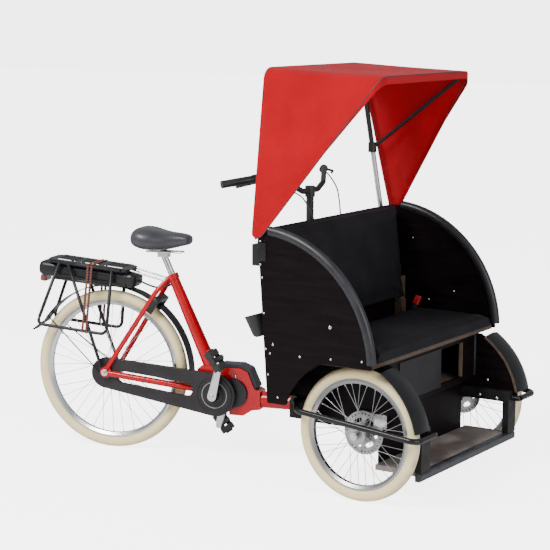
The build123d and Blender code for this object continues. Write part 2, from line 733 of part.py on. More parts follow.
# Under-seat store with an opening at the front, half closed by a flap, and the panel below it.
store_half = inner - STORE_SIDE
store_low = store_floor_z + 16
store_high = seat_board_z - 18
riser_front = RISER_X + PLY
with BuildPart() as seat_riser:
    add(block(RISER_X, riser_front, -inner, inner, store_floor_z, seat_board_z))
    mouth = block(RISER_X - 5, riser_front + 5, -store_half, store_half, store_low, store_high)
    add(mouth, mode=Mode.SUBTRACT)
keep(seat_riser.part, "seat_riser", FRONT_PLACE)
flap_front = riser_front + SEAT_GAP + FLAP_T
flap_y = (-store_half - 10, store_half * 0.27)
store_flap = block(flap_front - FLAP_T, flap_front, *flap_y, store_low - 8, store_high + 6)
keep(store_flap, "store_flap", FRONT_PLACE)
kick_x = beam_front + 1
with BuildPart() as under_seat_panels:
    add(block(rail_rear + 36, riser_front, -inner, inner, store_floor_z - 10, store_floor_z))
    add(block(kick_x, kick_x + PLY, -inner + RAIL, inner - RAIL, foot_top - FOOT_T, store_floor_z - 10))
keep(under_seat_panels.part, "under_seat_panels", FRONT_PLACE)

# Footboard with its nosing, which also carries the front posts.
keep(block(kick_x + PLY, foot_front, -inner, inner, foot_top - FOOT_T, foot_top), "footboard", FRONT_PLACE)
nosing_half = lower_half + 14
with BuildPart() as foot_nosing:
    add(block(foot_front, post_front, -nosing_half, nosing_half, foot_top - NOSING, foot_top))
    fillet(foot_nosing.edges().filter_by(Axis.Y).group_by(Axis.X)[-1], 10)
keep(foot_nosing.part, "foot_nosing", FRONT_PLACE)

# Guard bars outside the front wheels.
bar_front = FRONT_AXLE_X + FRONT_R + GUARD_BAR_R + GUARD_BAR_AHEAD
bar_end_y = -lower_half + 26
bar_y = BOX_HALF - 14
bar_rear_z = FRONT_R + 81
guard_path = [
    (back_foot_x + 50, -lower_half - 7, bar_rear_z),
    (back_foot_x + 122, -bar_y, bar_rear_z - 10),
    (bar_front, -bar_y, FRONT_R + 20),
    (bar_front, bar_end_y - 10, FRONT_R + 20),
]
washer = (back_foot_x + 46, -lower_half, bar_rear_z)
with BuildPart() as guard_bar:
    add(tube(guard_path, GUARD_BAR_R, 34))
    add(rod(washer, (washer[0], washer[1] - 12, washer[2]), GUARD_BAR_R + 7))
    add(rod((post_front + SEAT_GAP, bar_end_y, FRONT_R + 20), (bar_front + 4, bar_end_y, FRONT_R + 20), 10))
keep(both_sides(guard_bar.part), "guard_bars", FRONT_PLACE)

# Cushions, with battens in the corners behind the seat cushion.
cushion_top = seat_top + CUSHION_T
cushion_back = back_foot_x + 70
with BuildPart() as seat_cushion:
    add(block(cushion_back, SEAT_FRONT_X, -cushion_half, cushion_half, seat_top, cushion_top))
    fillet(seat_cushion.edges().group_by(Axis.Z)[-1], 10)
keep(seat_cushion.part, "seat_cushion", FRONT_PLACE)
wall_in = PLY / cos(radians(BACK_LEAN)) + SEAT_GAP
pad_low = cushion_top + 26
pad_high = top_back + 13
pad_outline = [
    (back_x(pad_low) + wall_in, pad_low),
    (back_x(pad_high) + wall_in, pad_high),
    (back_x(pad_high) + wall_in + 44, pad_high),
    (back_x(pad_low) + wall_in + 70, pad_low),
]
with BuildPart() as back_cushion:
    add(plate(pad_outline, -cushion_half, cushion_half))
    fillet(back_cushion.edges().group_by(Axis.X)[-1], 10)
keep(back_cushion.part, "back_cushion", FRONT_PLACE)
batten_back = back_x(seat_top) + wall_in
batten = block(batten_back, batten_back + 34, -side_in, -side_in + 34, seat_top, pad_low - 2)
keep(both_sides(batten), "corner_battens", FRONT_PLACE)

# Hood: one flared sheet over two bows. Its section slopes down towards the front.
hood_from = back_foot_x - 180.0
hood_long = 640.0
hood_low_half = BOX_HALF + HOOD_LAP
hood_low_z = top_back - HOOD_DROP
hood_top_half = hood_low_half - HOOD_TAPER
hood_top_z = hood_low_z + HOOD_RISE


def roof_z(x):
    """Outer face of the roof in the middle, at a place along the box."""
    return hood_top_z - (x - hood_from) * tan(radians(HOOD_SLOPE))


# Hood frame: rear bow, and a front bow clamped to it half way up.
foot_z = top_back - 131
foot_y = BOX_HALF - 34
rear_bow_x = back_x(top_back) - 60
front_bow_x = FRONT_AXLE_X + 10
bow_low = (back_x(foot_z) - BOW_R - 14, foot_y, foot_z)
bow_high = (rear_bow_x, hood_top_half - BOW_R - 2, roof_z(rear_bow_x) - BOW_R - HOOD_T - 0.6)
brow_high = (front_bow_x, hood_top_half - FRONT_BOW_R - 8, roof_z(front_bow_x) - FRONT_BOW_R - HOOD_T - 4)
clamp_share = 0.53
clamp = Vector(*[low + (high - low) * clamp_share for low, high in zip(bow_low, bow_high)])
rear_bow = [
    (bow_low[0], -bow_low[1], bow_low[2]),
    (bow_high[0], -bow_high[1], bow_high[2]),
    bow_high,
    bow_low,
]
front_bow = [
    (clamp.X + 6, -clamp.Y, clamp.Z),
    (brow_high[0], -brow_high[1], brow_high[2]),
    brow_high,
    (clamp.X + 6, clamp.Y, clamp.Z),
]
with BuildPart() as hood_frame:
    add(tube(rear_bow, BOW_R, 60))
    add(tube(front_bow, FRONT_BOW_R, 60))
    for side in (-1, 1):
        add(rod((clamp.X, side * clamp.Y, clamp.Z - 20), (clamp.X, side * clamp.Y, clamp.Z + 20), BOW_R + 7))
        add(side_block(side, bow_low[0] - 18, back_x(foot_z + 80) - SEAT_GAP, foot_y - 20, foot_y + 20,
                       foot_z - 4, foot_z + 76))
keep(hood_frame.part, "hood_frame", FRONT_PLACE)

hood_flare = HOOD_TAPER / HOOD_RISE
hood_wall = HOOD_T * sqrt(1 + hood_flare ** 2)
hood_skin = [(hood_low_half, hood_low_z), (hood_top_half, hood_top_z)]
hood_lining = [
    (hood_low_half - hood_wall + hood_flare * 20, hood_low_z - 20),
    (hood_top_half - hood_wall + hood_flare * HOOD_T, hood_top_z - HOOD_T),
]
hood_run = (cos(radians(HOOD_SLOPE)), 0, -sin(radians(HOOD_SLOPE)))
hood_tip = Vector(back_x(hood_low_z) + 20, 0, hood_low_z + 2)
hood_brow = Vector(front_bow_x + 18, 0, hood_top_z - 30)
hood_heel = Vector(back_x(hood_low_z) - 20, 0, hood_low_z)
slant = hood_brow - hood_tip
with BuildPart() as hood_cloth:
    for line, mode in ((hood_skin, Mode.ADD), (hood_lining, Mode.SUBTRACT)):
        with BuildSketch(Plane.YZ.offset(hood_from)) as hood_section:
            with BuildLine():
                Polyline(*[(-y, z) for y, z in line], *line[::-1], close=True)
            make_face()
            fillet(hood_section.vertices().group_by(Axis.Y)[-1], HOOD_BEND)
        extrude(amount=hood_long, dir=hood_run, mode=mode)
    split(bisect_by=Plane(hood_tip, z_dir=(-slant.Z, 0, slant.X)), keep=Keep.TOP)
    split(bisect_by=Plane(hood_heel, z_dir=(61, 0, 5.4)), keep=Keep.TOP)
keep(hood_cloth.part, "hood_cloth", FRONT_PLACE)

# Handlebar on a post behind the back wall.
bar_post_x = back_x(top_back) - BAR_BEHIND
bar_z = top_back + BAR_RISE
grip_tip = Vector(bar_post_x - 167, -BAR_HALF, bar_z + 44)
grip_root = Vector(bar_post_x - 67, -BAR_HALF + 151, bar_z + 67)
right_half = [
    tuple(grip_tip),
    tuple(grip_root),
    (bar_post_x - 5, -BAR_HALF * 0.29, bar_z + 24),
    (bar_post_x, -BAR_HALF * 0.15, bar_z),
]
left_half = [(x, -y, z) for x, y, z in reversed(right_half)]
with BuildPart() as handlebar:
    add(tube(right_half + left_half, BAR_R, 40))
    add(rod((bar_post_x, 0, top_back - 381), (bar_post_x, 0, bar_z), BAR_POST_R))
    add(rod((bar_post_x, 0, bar_z - 24), (bar_post_x, 0, bar_z + 18), BAR_POST_R + 5))
    for z in (top_back - 341, top_back - 121):
        add(block(bar_post_x, back_x(z + 20) - 1.5, -26, 26, z - 18, z + 18))
keep(handlebar.part, "handlebar", FRONT_PLACE)

# Grips, brake levers and their cables.
grip_run = (grip_root - grip_tip).normalized()
with BuildPart() as grip:
    add(rod(grip_tip - grip_run * 3, grip_tip + grip_run * GRIP_L, GRIP_R))
    add(handlebar.part, mode=Mode.SUBTRACT)
keep(both_sides(grip.part), "grips", FRONT_PLACE)
lever_at = grip_tip + grip_run * (GRIP_L + 14)
lever_ahead = Vector(grip_run.Y, -grip_run.X, 0).normalized()
lever_path = [
    tuple(lever_at),
    tuple(lever_at + lever_ahead * 38 - Vector(0, 0, 8)),
    tuple(lever_at + lever_ahead * 36 - grip_run * 96 - Vector(0, 0, 14)),
]
with BuildPart() as lever:
    add(rod(grip_tip + grip_run * (GRIP_L + 3), grip_tip + grip_run * (GRIP_L + 27), BAR_R + 6))
    add(tube(lever_path, 5, 24))
    add(handlebar.part, mode=Mode.SUBTRACT)
keep(both_sides(lever.part), "brake_levers", FRONT_PLACE)
cable_start = tuple(lever_at + lever_ahead * 10 - Vector(0, 0, 14))
cable_path = [
    cable_start,
    (bar_post_x + 30, -BAR_HALF * 0.41, bar_z + 20),
    (back_x(top_back + 29) - 14, -BAR_HALF * 0.3, top_back + 39),
    (back_x(top_back - 81) - 6, -BAR_HALF * 0.25, top_back - 41),
    (back_x(top_back - 161) - 6, -BAR_HALF * 0.25, top_back - 161),
    (back_x(top_back - 341) - 6, -BAR_HALF * 0.25, top_back - 341),
]
with BuildPart() as brake_cable:
    add(tube(cable_path, 3, 30))
    add(rod(lever_at, cable_start, 3))
    add(lever.part, mode=Mode.SUBTRACT)
    add(handlebar.part, mode=Mode.SUBTRACT)
keep(both_sides(brake_cable.part), "brake_cables", FRONT_PLACE)

# Brake callipers on the lower sides.
with BuildPart() as calliper:
    add(block(FRONT_AXLE_X + 46, FRONT_AXLE_X + 100, -disc_y - 8, -lower_half, FRONT_R + 30, FRONT_R + 78))
    fillet(calliper.edges().filter_by(Axis.Y), 6)
    add(disc(FRONT_AXLE_X, FRONT_R, DISC_R + 6, -disc_y - 5, -disc_y + 5), mode=Mode.SUBTRACT)
keep(both_sides(calliper.part), "brake_callipers", FRONT_PLACE)

# Cup holder behind the back wall.
cup_y = -BOX_HALF + 74
cup_low = Vector(back_x(seat_top) - 65, cup_y, seat_top + 44)
cup_run = Vector(-27, 0, 82)
with BuildPart(Plane(cup_low, z_dir=cup_run)) as cup_outside:
    Cone(29, 40, cup_run.length, align=(Align.CENTER, Align.CENTER, Align.MIN))
with BuildPart(Plane(cup_low + cup_run.normalized() * 4, z_dir=cup_run)) as cup_inside:
    Cone(27, 38, cup_run.length, align=(Align.CENTER, Align.CENTER, Align.MIN))
arm_outline = [
    (cup_low.X - 12, cup_low.Z + 26),
    (back_x(cup_low.Z + 26), cup_low.Z + 26),
    (back_x(cup_low.Z + 50), cup_low.Z + 50),
    (cup_low.X - 12, cup_low.Z + 50),
]
with BuildPart() as cup_holder:
    add(plate(arm_outline, cup_y - 16, cup_y + 16))
    add(cup_outside.part)
    add(cup_inside.part, mode=Mode.SUBTRACT)
keep(cup_holder.part, "cup_holder", FRONT_PLACE)

# Ring lock straddling the rear wheel in front of the seat stays.
lock_a = atan2(bridge_end.Z - REAR_R, bridge_end.X) - radians(3.4)
lock_out = Vector(cos(lock_a), 0, sin(lock_a))
lock_mid = Vector(0, 0, REAR_R) + lock_out * (REAR_R + 16)
with BuildPart() as ring_lock:
    with BuildSketch(Plane(lock_mid, x_dir=(0, 1, 0), z_dir=(lock_out.Z, 0, -lock_out.X))):
        RectangleRounded(116, 76, 18)
        with Locations((0, -20)):
            Rectangle(80, 76, mode=Mode.SUBTRACT)
    extrude(amount=12, both=True)
    add(seat_stays.part, mode=Mode.SUBTRACT)
keep(ring_lock.part, "ring_lock", REAR_PLACE)

# Small rear pieces: struts, lamp, elastic strap, battery cable.
strut_y = deck_side - 28
strut_rear = (CARRIER_TURN * Location((deck_half, -strut_y, -CARRIER_TUBE_R))).position
with BuildPart() as strut:
    add(rod(strut_rear, (seat_top_x - 22, -28, seat_top_z - 24), 4))
    add(carrier_deck.part.moved(CARRIER_TURN), mode=Mode.SUBTRACT)
    add(seat_stays.part, mode=Mode.SUBTRACT)
    add(frame_body.part, mode=Mode.SUBTRACT)
keep(both_sides(strut.part), "carrier_struts", REAR_PLACE)
lamp_rear = battery_x - BATTERY_L / 2 + 9
lamp_top = battery_z - BATTERY_H / 2 - SEAT_GAP
with BuildPart() as tail_lamp:
    add(block(lamp_rear, lamp_rear + 18, -34, 34, lamp_top - 26, lamp_top))
    fillet(tail_lamp.edges().filter_by(Axis.X).group_by(Axis.Z)[0], 10)
keep(tail_lamp.part, "tail_lamp", CARRIER_PLACE)
strap_top = side_y + CARRIER_TUBE_R + SEAT_GAP
strap_low = loop_y + 5 + SEAT_GAP
strap_end = -PANNIER_DROP - 6
strap_half = [(-strap_low, strap_end), (-strap_top, SEAT_GAP)]
strap_inside = strap_half + [(-y, z) for y, z in reversed(strap_half)]
strap_outside = [(y + STRAP_T if y > 0 else y - STRAP_T, max(z, strap_end)) for y, z in strap_inside]
strap_outside = [(y, z + STRAP_T if z > 0 else z) for y, z in strap_outside]
with BuildPart() as carrier_strap:
    for x in (6, 22):
        with BuildSketch(Plane.YZ.offset(x)):
            with BuildLine():
                Polyline(*strap_outside, *reversed(strap_inside), close=True)
            make_face()
        extrude(amount=STRAP_W)
keep(carrier_strap.part, "carrier_strap", CARRIER_PLACE)
plug = (CARRIER_TURN * Location((battery_x + BATTERY_L / 2 - 4, 0, battery_z))).position
plug_run = Vector(seat_top_x, 0, seat_top_z - 40) - plug
loop = [
    (plug.X, 0, plug.Z),
    tuple(plug + plug_run * 0.38 - Vector(0, 0, 22)),
    tuple(plug + plug_run * 0.76 - Vector(0, 0, 20)),
    tuple(plug + plug_run * 1.02),
]
with BuildPart() as battery_cable:
    add(tube(loop, 4, 20))
    add(battery.part.moved(CARRIER_TURN), mode=Mode.SUBTRACT)
    add(frame_body.part, mode=Mode.SUBTRACT)
    add(seat_post.part, mode=Mode.SUBTRACT)
keep(battery_cable.part, "battery_cable", REAR_PLACE)

# Belt buckles standing on the seat near its sides.
buckle_x = cushion_back + 62
buckle_y = cushion_half - 40
with BuildPart() as buckle:
    add(block(buckle_x - 13, buckle_x + 13, -buckle_y - 7, -buckle_y + 7,
              cushion_top + SEAT_GAP, cushion_top + 58))
    fillet(buckle.edges(), 4)
keep(both_sides(buckle.part), "belt_buckles", FRONT_PLACE)

# The origin is on the floor, in the middle of the whole tricycle.
boxes = [piece.bounding_box() for piece in pieces]
origin_x = (min(box.min.X for box in boxes) + max(box.max.X for box in boxes)) / 2
for piece in pieces:
    piece.locate(Location((-origin_x, 0, 0)) * piece.location)
    export_step(piece, "parts/" + piece.label + ".step")
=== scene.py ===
import bpy
import json
from math import atan2, cos, pi, radians, sin, sqrt, tan
from mathutils import Matrix, Vector


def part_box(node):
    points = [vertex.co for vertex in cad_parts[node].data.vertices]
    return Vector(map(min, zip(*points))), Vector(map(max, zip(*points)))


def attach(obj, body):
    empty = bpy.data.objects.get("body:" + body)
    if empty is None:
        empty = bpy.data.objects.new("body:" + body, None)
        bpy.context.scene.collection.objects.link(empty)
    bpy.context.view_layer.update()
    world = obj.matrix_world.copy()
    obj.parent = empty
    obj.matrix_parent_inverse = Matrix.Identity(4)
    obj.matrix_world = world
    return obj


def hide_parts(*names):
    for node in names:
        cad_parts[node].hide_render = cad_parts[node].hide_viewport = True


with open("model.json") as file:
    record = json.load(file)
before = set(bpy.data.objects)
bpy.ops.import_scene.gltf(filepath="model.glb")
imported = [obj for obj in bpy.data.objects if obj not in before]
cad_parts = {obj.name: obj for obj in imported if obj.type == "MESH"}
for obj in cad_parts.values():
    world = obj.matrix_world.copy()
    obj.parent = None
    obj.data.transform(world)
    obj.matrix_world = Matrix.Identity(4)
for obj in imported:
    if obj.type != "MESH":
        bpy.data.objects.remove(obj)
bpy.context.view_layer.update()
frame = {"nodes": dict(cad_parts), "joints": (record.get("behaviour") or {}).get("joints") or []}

# Studio: the camera stands where the photograph was taken, over a plain pale floor,
# with one broad soft light at the left, a weaker one at the right and an even sky.
STEER_PIVOT = frame["joints"][0]["pos_m"][0]
VIEW_TURN = radians(33.2)
VIEW_RISE = radians(9.0)
VIEW_ROLL = radians(0.2)
CAMERA_AT = (STEER_PIVOT + 3.221, -5.742, 1.813)
CAMERA_LENS = 113.2
scene = bpy.context.scene
camera = bpy.data.objects.new("camera", bpy.data.cameras.new("camera"))
scene.collection.objects.link(camera)
camera.data.sensor_width = 36.0
camera.data.lens = CAMERA_LENS
camera.data.clip_end = 100.0
look = Vector((sin(VIEW_TURN) * cos(VIEW_RISE), -cos(VIEW_TURN) * cos(VIEW_RISE), sin(VIEW_RISE)))
turn = look.to_track_quat("Z", "Y").to_matrix().to_4x4()
camera.matrix_world = Matrix.Translation(CAMERA_AT) @ turn @ Matrix.Rotation(VIEW_ROLL, 4, "Z")
scene.camera = camera


def soft_light(name, place, target, width, power):
    """A square soft light that faces a point."""
    light = bpy.data.objects.new(name, bpy.data.lights.new(name, "AREA"))
    light.data.size = width
    light.data.energy = power
    light.location = place
    light.rotation_euler = (Vector(place) - Vector(target)).to_track_quat("Z", "Y").to_euler()
    scene.collection.objects.link(light)


soft_light("key", (-0.9, -4.2, 4.8), (0.0, 0.0, 0.6), 2.2, 420.0)
soft_light("fill", (4.6, -1.6, 2.4), (0.3, 0.0, 0.6), 2.8, 110.0)
world = bpy.data.worlds.new("studio")
world.use_nodes = True
sky = world.node_tree.nodes["Background"]
sky.inputs["Color"].default_value = (0.95, 0.97, 1.0, 1.0)
sky.inputs["Strength"].default_value = 0.5
add, link = world.node_tree.nodes.new, world.node_tree.links.new
backdrop = add("ShaderNodeBackground")
backdrop.inputs["Strength"].default_value = 5.5
seen = add("ShaderNodeMixShader")
link(add("ShaderNodeLightPath").outputs["Is Camera Ray"], seen.inputs[0])
link(sky.outputs[0], seen.inputs[1])
link(backdrop.outputs[0], seen.inputs[2])
link(seen.outputs[0], world.node_tree.nodes["World Output"].inputs["Surface"])
scene.world = world


def new_piece(name, points, faces):
    """A mesh object at the origin with its place in its points."""
    mesh = bpy.data.meshes.new(name)
    mesh.from_pydata([tuple(p) for p in points], [], faces)
    mesh.validate()
    mesh.update()
    mesh.polygons.foreach_set("use_smooth", [True] * len(mesh.polygons))
    piece = bpy.data.objects.new(name, mesh)
    scene.collection.objects.link(piece)
    return piece


FLOOR_HALF = 30.0
FLOOR_DROP = 0.0005
floor = new_piece("floor", [(x * FLOOR_HALF, y * FLOOR_HALF, -FLOOR_DROP)
                            for x, y in ((-1, -1), (1, -1), (1, 1), (-1, 1))], [(0, 1, 2, 3)])
floor_white = bpy.data.materials.new("floor_white")
floor_white.use_nodes = True
floor_shader = floor_white.node_tree.nodes["Principled BSDF"]
floor_shader.inputs["Base Color"].default_value = (0.92, 0.92, 0.92, 1.0)
floor_shader.inputs["Roughness"].default_value = 0.9
floor_shader.inputs["Emission Strength"].default_value = 4.2
floor_seen = floor_white.node_tree.nodes.new("ShaderNodeLightPath")
floor_white.node_tree.links.new(floor_seen.outputs["Is Camera Ray"], floor_shader.inputs["Emission Color"])
floor.data.materials.append(floor_white)


# Rear frame: welded round tubes with a boxed motor cradle, powder coated in a bright
# glossy red that pools a little darker and shows a faint orange peel.
class Flow:
    """One value on its way through a shader; arithmetic on it adds Math nodes."""

    def __init__(self, tree, socket):
        self.tree = tree
        self.socket = socket

    def node(self, kind, inputs=(), out=0, **settings):
        """Any node: its settings first, then the values or links of its sockets."""
        made = self.tree.nodes.new(kind)
        for key, value in settings.items():
            setattr(made, key, value)
        for key, value in dict(inputs).items():
            if isinstance(value, Flow):
                self.tree.links.new(value.socket, made.inputs[key])
            else:
                made.inputs[key].default_value = value
        return Flow(self.tree, made.outputs[out])

    def math(self, operation, first, second=0.0):
        return self.node("ShaderNodeMath", {0: first, 1: second}, operation=operation)

    def __add__(self, other):
        return self.math("ADD", self, other)

    def __sub__(self, other):
        return self.math("SUBTRACT", self, other)

    def __rsub__(self, other):
        return self.math("SUBTRACT", other, self)

    def __mul__(self, other):
        return self.math("MULTIPLY", self, other)

    __radd__ = __add__

    def step(self, low, high):
        """0 below low, 1 above high, and a soft rise between."""
        return self.node("ShaderNodeMapRange", {0: self, 1: low, 2: high}, interpolation_type="SMOOTHSTEP")

    def noise(self, scale, detail=3.0, stretch=(1.0, 1.0, 1.0)):
        """Cloudy noise over a place, stretched along the axes."""
        place = self.node("ShaderNodeMapping", {"Vector": self, "Scale": stretch})
        return self.node("ShaderNodeTexNoise", {"Vector": place, "Scale": scale, "Detail": detail}, "Fac")

    def blend(self, first, second):
        """A colour between two, by this value."""
        return self.node("ShaderNodeMix", {0: self, 6: first, 7: second}, 2, data_type="RGBA")

    def axis(self, name):
        return self.node("ShaderNodeSeparateXYZ", {0: self}, name)

    def into(self, shader, socket):
        self.tree.links.new(self.socket, shader.inputs[socket])


def bare_finish(name, shine=0.5, **fixed):
    """A new material with its fixed sockets set; its shader and the place on the piece come back too."""
    material = bpy.data.materials.new(name)
    material.use_nodes = True
    shader = material.node_tree.nodes["Principled BSDF"]
    shader.inputs["Specular IOR Level"].default_value = shine
    for socket, value in fixed.items():
        shader.inputs[socket.replace("_", " ")].default_value = value
    place = material.node_tree.nodes.new("ShaderNodeTexCoord").outputs["Object"]
    return material, shader, Flow(material.node_tree, place)


def emboss(shader, height, depth):
    """A height in metres pressed into the surface."""
    bump = height.node("ShaderNodeBump", {"Height": height, "Strength": 1.0, "Distance": depth}, "Normal")
    bump.into(shader, "Normal")


def worn_finish(name, light, dark, gloss, patch, grain, depth, **fixed):
    """A finish whose colour and gloss drift in patches of one size, with a fine grain of another."""
    material, shader, place = bare_finish(name, **fixed)
    cloud = place.noise(1.0 / patch, 4.0).step(0.3, 0.7)
    cloud.blend((*dark, 1.0), (*light, 1.0)).into(shader, "Base Color")
    fine = place.noise(1.0 / grain, 2.0)
    (gloss[0] + cloud * (gloss[1] - gloss[0]) + (fine - 0.5) * 0.08).into(shader, "Roughness")
    emboss(shader, fine, depth)
    return material


def ease_edges(piece, width, segments, angle):
    """Rounds the edges of a piece that turn by more than an angle in degrees."""
    bevel = piece.modifiers.new("eased", "BEVEL")
    bevel.width = width
    bevel.segments = segments
    bevel.limit_method = "ANGLE"
    bevel.angle_limit = radians(angle)
    bevel.harden_normals = True


def dress(material, *nodes, edge=0.0):
    """Puts a finish on CAD pieces, and takes the sharpness off their edges."""
    for name in nodes:
        piece = frame["nodes"][name]
        piece.data.materials.clear()
        piece.data.materials.append(material)
        if edge:
            weld = piece.modifiers.new("joined", "WELD")
            weld.merge_threshold = 0.00002
            ease_edges(piece, edge, 2, 40.0)


red_paint = worn_finish("red_paint", (0.52, 0.0, 0.007), (0.43, 0.0, 0.005), (0.22, 0.3), 0.12, 0.0025,
                        0.00004, Coat_Weight=0.35, Coat_Roughness=0.06, shine=0.25)
dress(red_paint, "rear_frame", "seat_stays", "chain_stays")

# Motor: a dark grey cast housing hung in the cradle, with a moulded cap along the top,
# and the chain case, a satin charcoal moulding with a paler ring round the crank.
cast_grey = worn_finish("cast_grey", (0.03, 0.029, 0.032), (0.018, 0.017, 0.02), (0.42, 0.55), 0.03, 0.0012,
                        0.0002, Metallic=0.3)
cap_grey = worn_finish("cap_grey", (0.035, 0.038, 0.048), (0.025, 0.028, 0.036), (0.38, 0.48), 0.05, 0.0009,
                       0.00008, shine=0.3)
case_grey = worn_finish("case_grey", (0.026, 0.023, 0.025), (0.017, 0.015, 0.017), (0.34, 0.46), 0.08,
                        0.0008, 0.00008, shine=0.3)
dress(cast_grey, "drive_motor", edge=0.004)
dress(cap_grey, "motor_cover", edge=0.002)
dress(case_grey, "chain_case", edge=0.004)

PARK_STEER = radians(15.0)
PIVOT_FROM_AXLE = 1.169
rear_place = (Matrix.Translation((STEER_PIVOT, 0.0, 0.0)) @ Matrix.Rotation(PARK_STEER, 4, "Z")
              @ Matrix.Translation((-PIVOT_FROM_AXLE, 0.0, 0.0)))


def ring_faces(steps, rows):
    """The faces of a closed section carried right round a circle."""
    return [(a * rows + b, a * rows + (b + 1) % rows, (a + 1) % steps * rows + (b + 1) % rows,
             (a + 1) % steps * rows + b) for a in range(steps) for b in range(rows)]


def turned(name, section, middle, axis, steps, material, body):
    """A piece turned on a lathe from (radius, offset) points about an axis through a point."""
    frame_turn = Vector(axis).to_track_quat("Z", "X").to_matrix()
    points = []
    for count in range(steps):
        angle = 2 * pi * count / steps
        for radius, offset in section:
            spot = Vector((radius * cos(angle), radius * sin(angle), offset))
            points.append(Vector(middle) + frame_turn @ spot)
    piece = new_piece(name, points, ring_faces(steps, len(section)))
    piece.data.materials.append(material)
    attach(piece, body)
    return piece


def bead(radius, offset, thick, steps=10):
    """The round section of a ring for the lathe."""
    return [(radius + thick * cos(2 * pi * n / steps), offset - thick * sin(2 * pi * n / steps))
            for n in range(steps)]


CRANK_AT = (0.465, 0.262)
CASE_FACE = 0.066
rear_cross = rear_place.to_3x3() @ Vector((0.0, -1.0, 0.0))
crank_mid = rear_place @ Vector((CRANK_AT[0], 0.0, CRANK_AT[1]))
bright_metal = worn_finish("bright_metal", (0.7, 0.7, 0.71), (0.62, 0.62, 0.63), (0.2, 0.28), 0.05, 0.0006,
                           0.00002, Metallic=1.0)
pale_ring = worn_finish("pale_ring", (0.36, 0.36, 0.37), (0.28, 0.28, 0.29), (0.35, 0.45), 0.03, 0.001,
                        0.00004)
turned("case_ring", bead(0.052, CASE_FACE, 0.0016), crank_mid, rear_cross, 72, pale_ring, "frame")
turned("case_ridge", bead(0.073, CASE_FACE, 0.0026), crank_mid, rear_cross, 80, case_grey, "frame")

# Cranks and pedals: forged silver arms with a polished bolt, and black platform pedals
# with amber reflectors let into their ends.
dress(bright_metal, "crank_arms", edge=0.002)
pedal_black = worn_finish("pedal_black", (0.022, 0.022, 0.024), (0.014, 0.014, 0.015), (0.4, 0.55), 0.02,
                          0.0008, 0.0001)
dress(pedal_black, "pedal_right", "pedal_left", edge=0.0015)
# Radius and distance out from the middle of the frame, from the bolt's face to its seat.
bolt_shape = [(0.0004, 0.1), (0.0085, 0.1), (0.009, 0.0985), (0.009, 0.094), (0.0004, 0.094)]
turned("crank_bolt", bolt_shape, crank_mid, rear_cross, 24, bright_metal, "crank")
amber, amber_shader, amber_place = bare_finish("amber", Roughness=0.12, Coat_Weight=0.6)
facets = amber_place.node("ShaderNodeTexVoronoi", {"Vector": amber_place, "Scale": 420.0}, "Distance")
lens_tone = facets.step(0.1, 0.7)
lens_tone.blend((0.85, 0.24, 0.015, 1.0), (0.5, 0.1, 0.005, 1.0)).into(amber_shader, "Base Color")
emboss(amber_shader, facets, 0.0006)


def slab(name, corners_low, corners_high, place, material, ease, body):
    """A small moulded block between two corners, with eased edges."""
    (x0, y0, z0), (x1, y1, z1) = corners_low, corners_high
    points = [place @ Vector((x, y, z)) for x in (x0, x1) for y in (y0, y1) for z in (z0, z1)]
    faces = [(0, 1, 3, 2), (4, 6, 7, 5), (0, 4, 5, 1), (2, 3, 7, 6), (0, 2, 6, 4), (1, 5, 7, 3)]
    piece = new_piece(name, points, faces)
    ease_edges(piece, ease, 3, 30.0)
    piece.data.materials.append(material)
    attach(piece, body)
    return piece


CRANK_LEAN = radians(13.0)
CRANK_LEN = 0.165
PEDAL_TURN = radians(55.0)
PEDAL_OUT = 0.147
REFLECTOR_AT = 0.0475
REFLECTOR_HALF = Vector((0.001, 0.02, 0.0065))
for side, body in ((-1, "right_pedal"), (1, "left_pedal")):
    x = CRANK_AT[0] - side * CRANK_LEN * sin(CRANK_LEAN)
    z = CRANK_AT[1] - side * CRANK_LEN * cos(CRANK_LEAN)
    pedal_place = (rear_place @ Matrix.Translation((x, side * PEDAL_OUT, z))
                   @ Matrix.Rotation(PEDAL_TURN, 4, "Y"))
    for end in (-1, 1):
        lens_mid = Vector((end * REFLECTOR_AT, 0.0, 0.0))
        slab(f"{body}_reflector_{end + 1}", lens_mid - REFLECTOR_HALF, lens_mid + REFLECTOR_HALF,
             pedal_place, amber, 0.0006, body)

# Wheels: cream tyres with ribbed shoulders on box rims, laced with crossing steel spokes
# whose nipples stand on the inner face of the rim; steel discs at the front, their drill
# holes painted near-black as painted shade.
cream, cream_shader, cream_place = bare_finish("cream_rubber", Roughness=0.62)
across = cream_place.node("ShaderNodeAttribute", out="Fac", attribute_name="across")
grime = cream_place.noise(22.0, 5.0).step(0.35, 0.75)
tread_dirt = across.step(0.72, 1.0) * (0.35 + grime * 0.5)
clean = (grime * 0.35).blend((0.98, 0.83, 0.46, 1.0), (0.9, 0.69, 0.33, 1.0))
tread_dirt.blend(clean, (0.36, 0.33, 0.29, 1.0)).into(cream_shader, "Base Color")
emboss(cream_shader, cream_place.noise(900.0, 2.0), 0.0001)
rim_silver = worn_finish("rim_silver", (0.7, 0.7, 0.71), (0.62, 0.62, 0.63), (0.24, 0.32), 0.08, 0.0007,
                         0.00003, Metallic=1.0)
dress(rim_silver, "rear_wheel")
disc_silver, disc_shader, disc_place = bare_finish("disc_silver", Metallic=1.0)
low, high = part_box("tyre_right")
hub = (low + high) / 2
DISC_IN = 0.033
DRILL_RING = 0.071
DRILL_COUNT = 30
DRILL_EDGE = (0.0026, 0.0032)
DISC_EDGE = (0.002, 0.003)
from_x, from_z = disc_place.axis("X") - hub.x, disc_place.axis("Z") - hub.z
reach = disc_place.math("SQRT", from_x * from_x + from_z * from_z)
round_at = disc_place.math("ARCTAN2", from_x, from_z) * (DRILL_COUNT / (2 * pi))
along_ring = (round_at.math("FRACT", round_at) - 0.5) * (2 * pi * DRILL_RING / DRILL_COUNT)
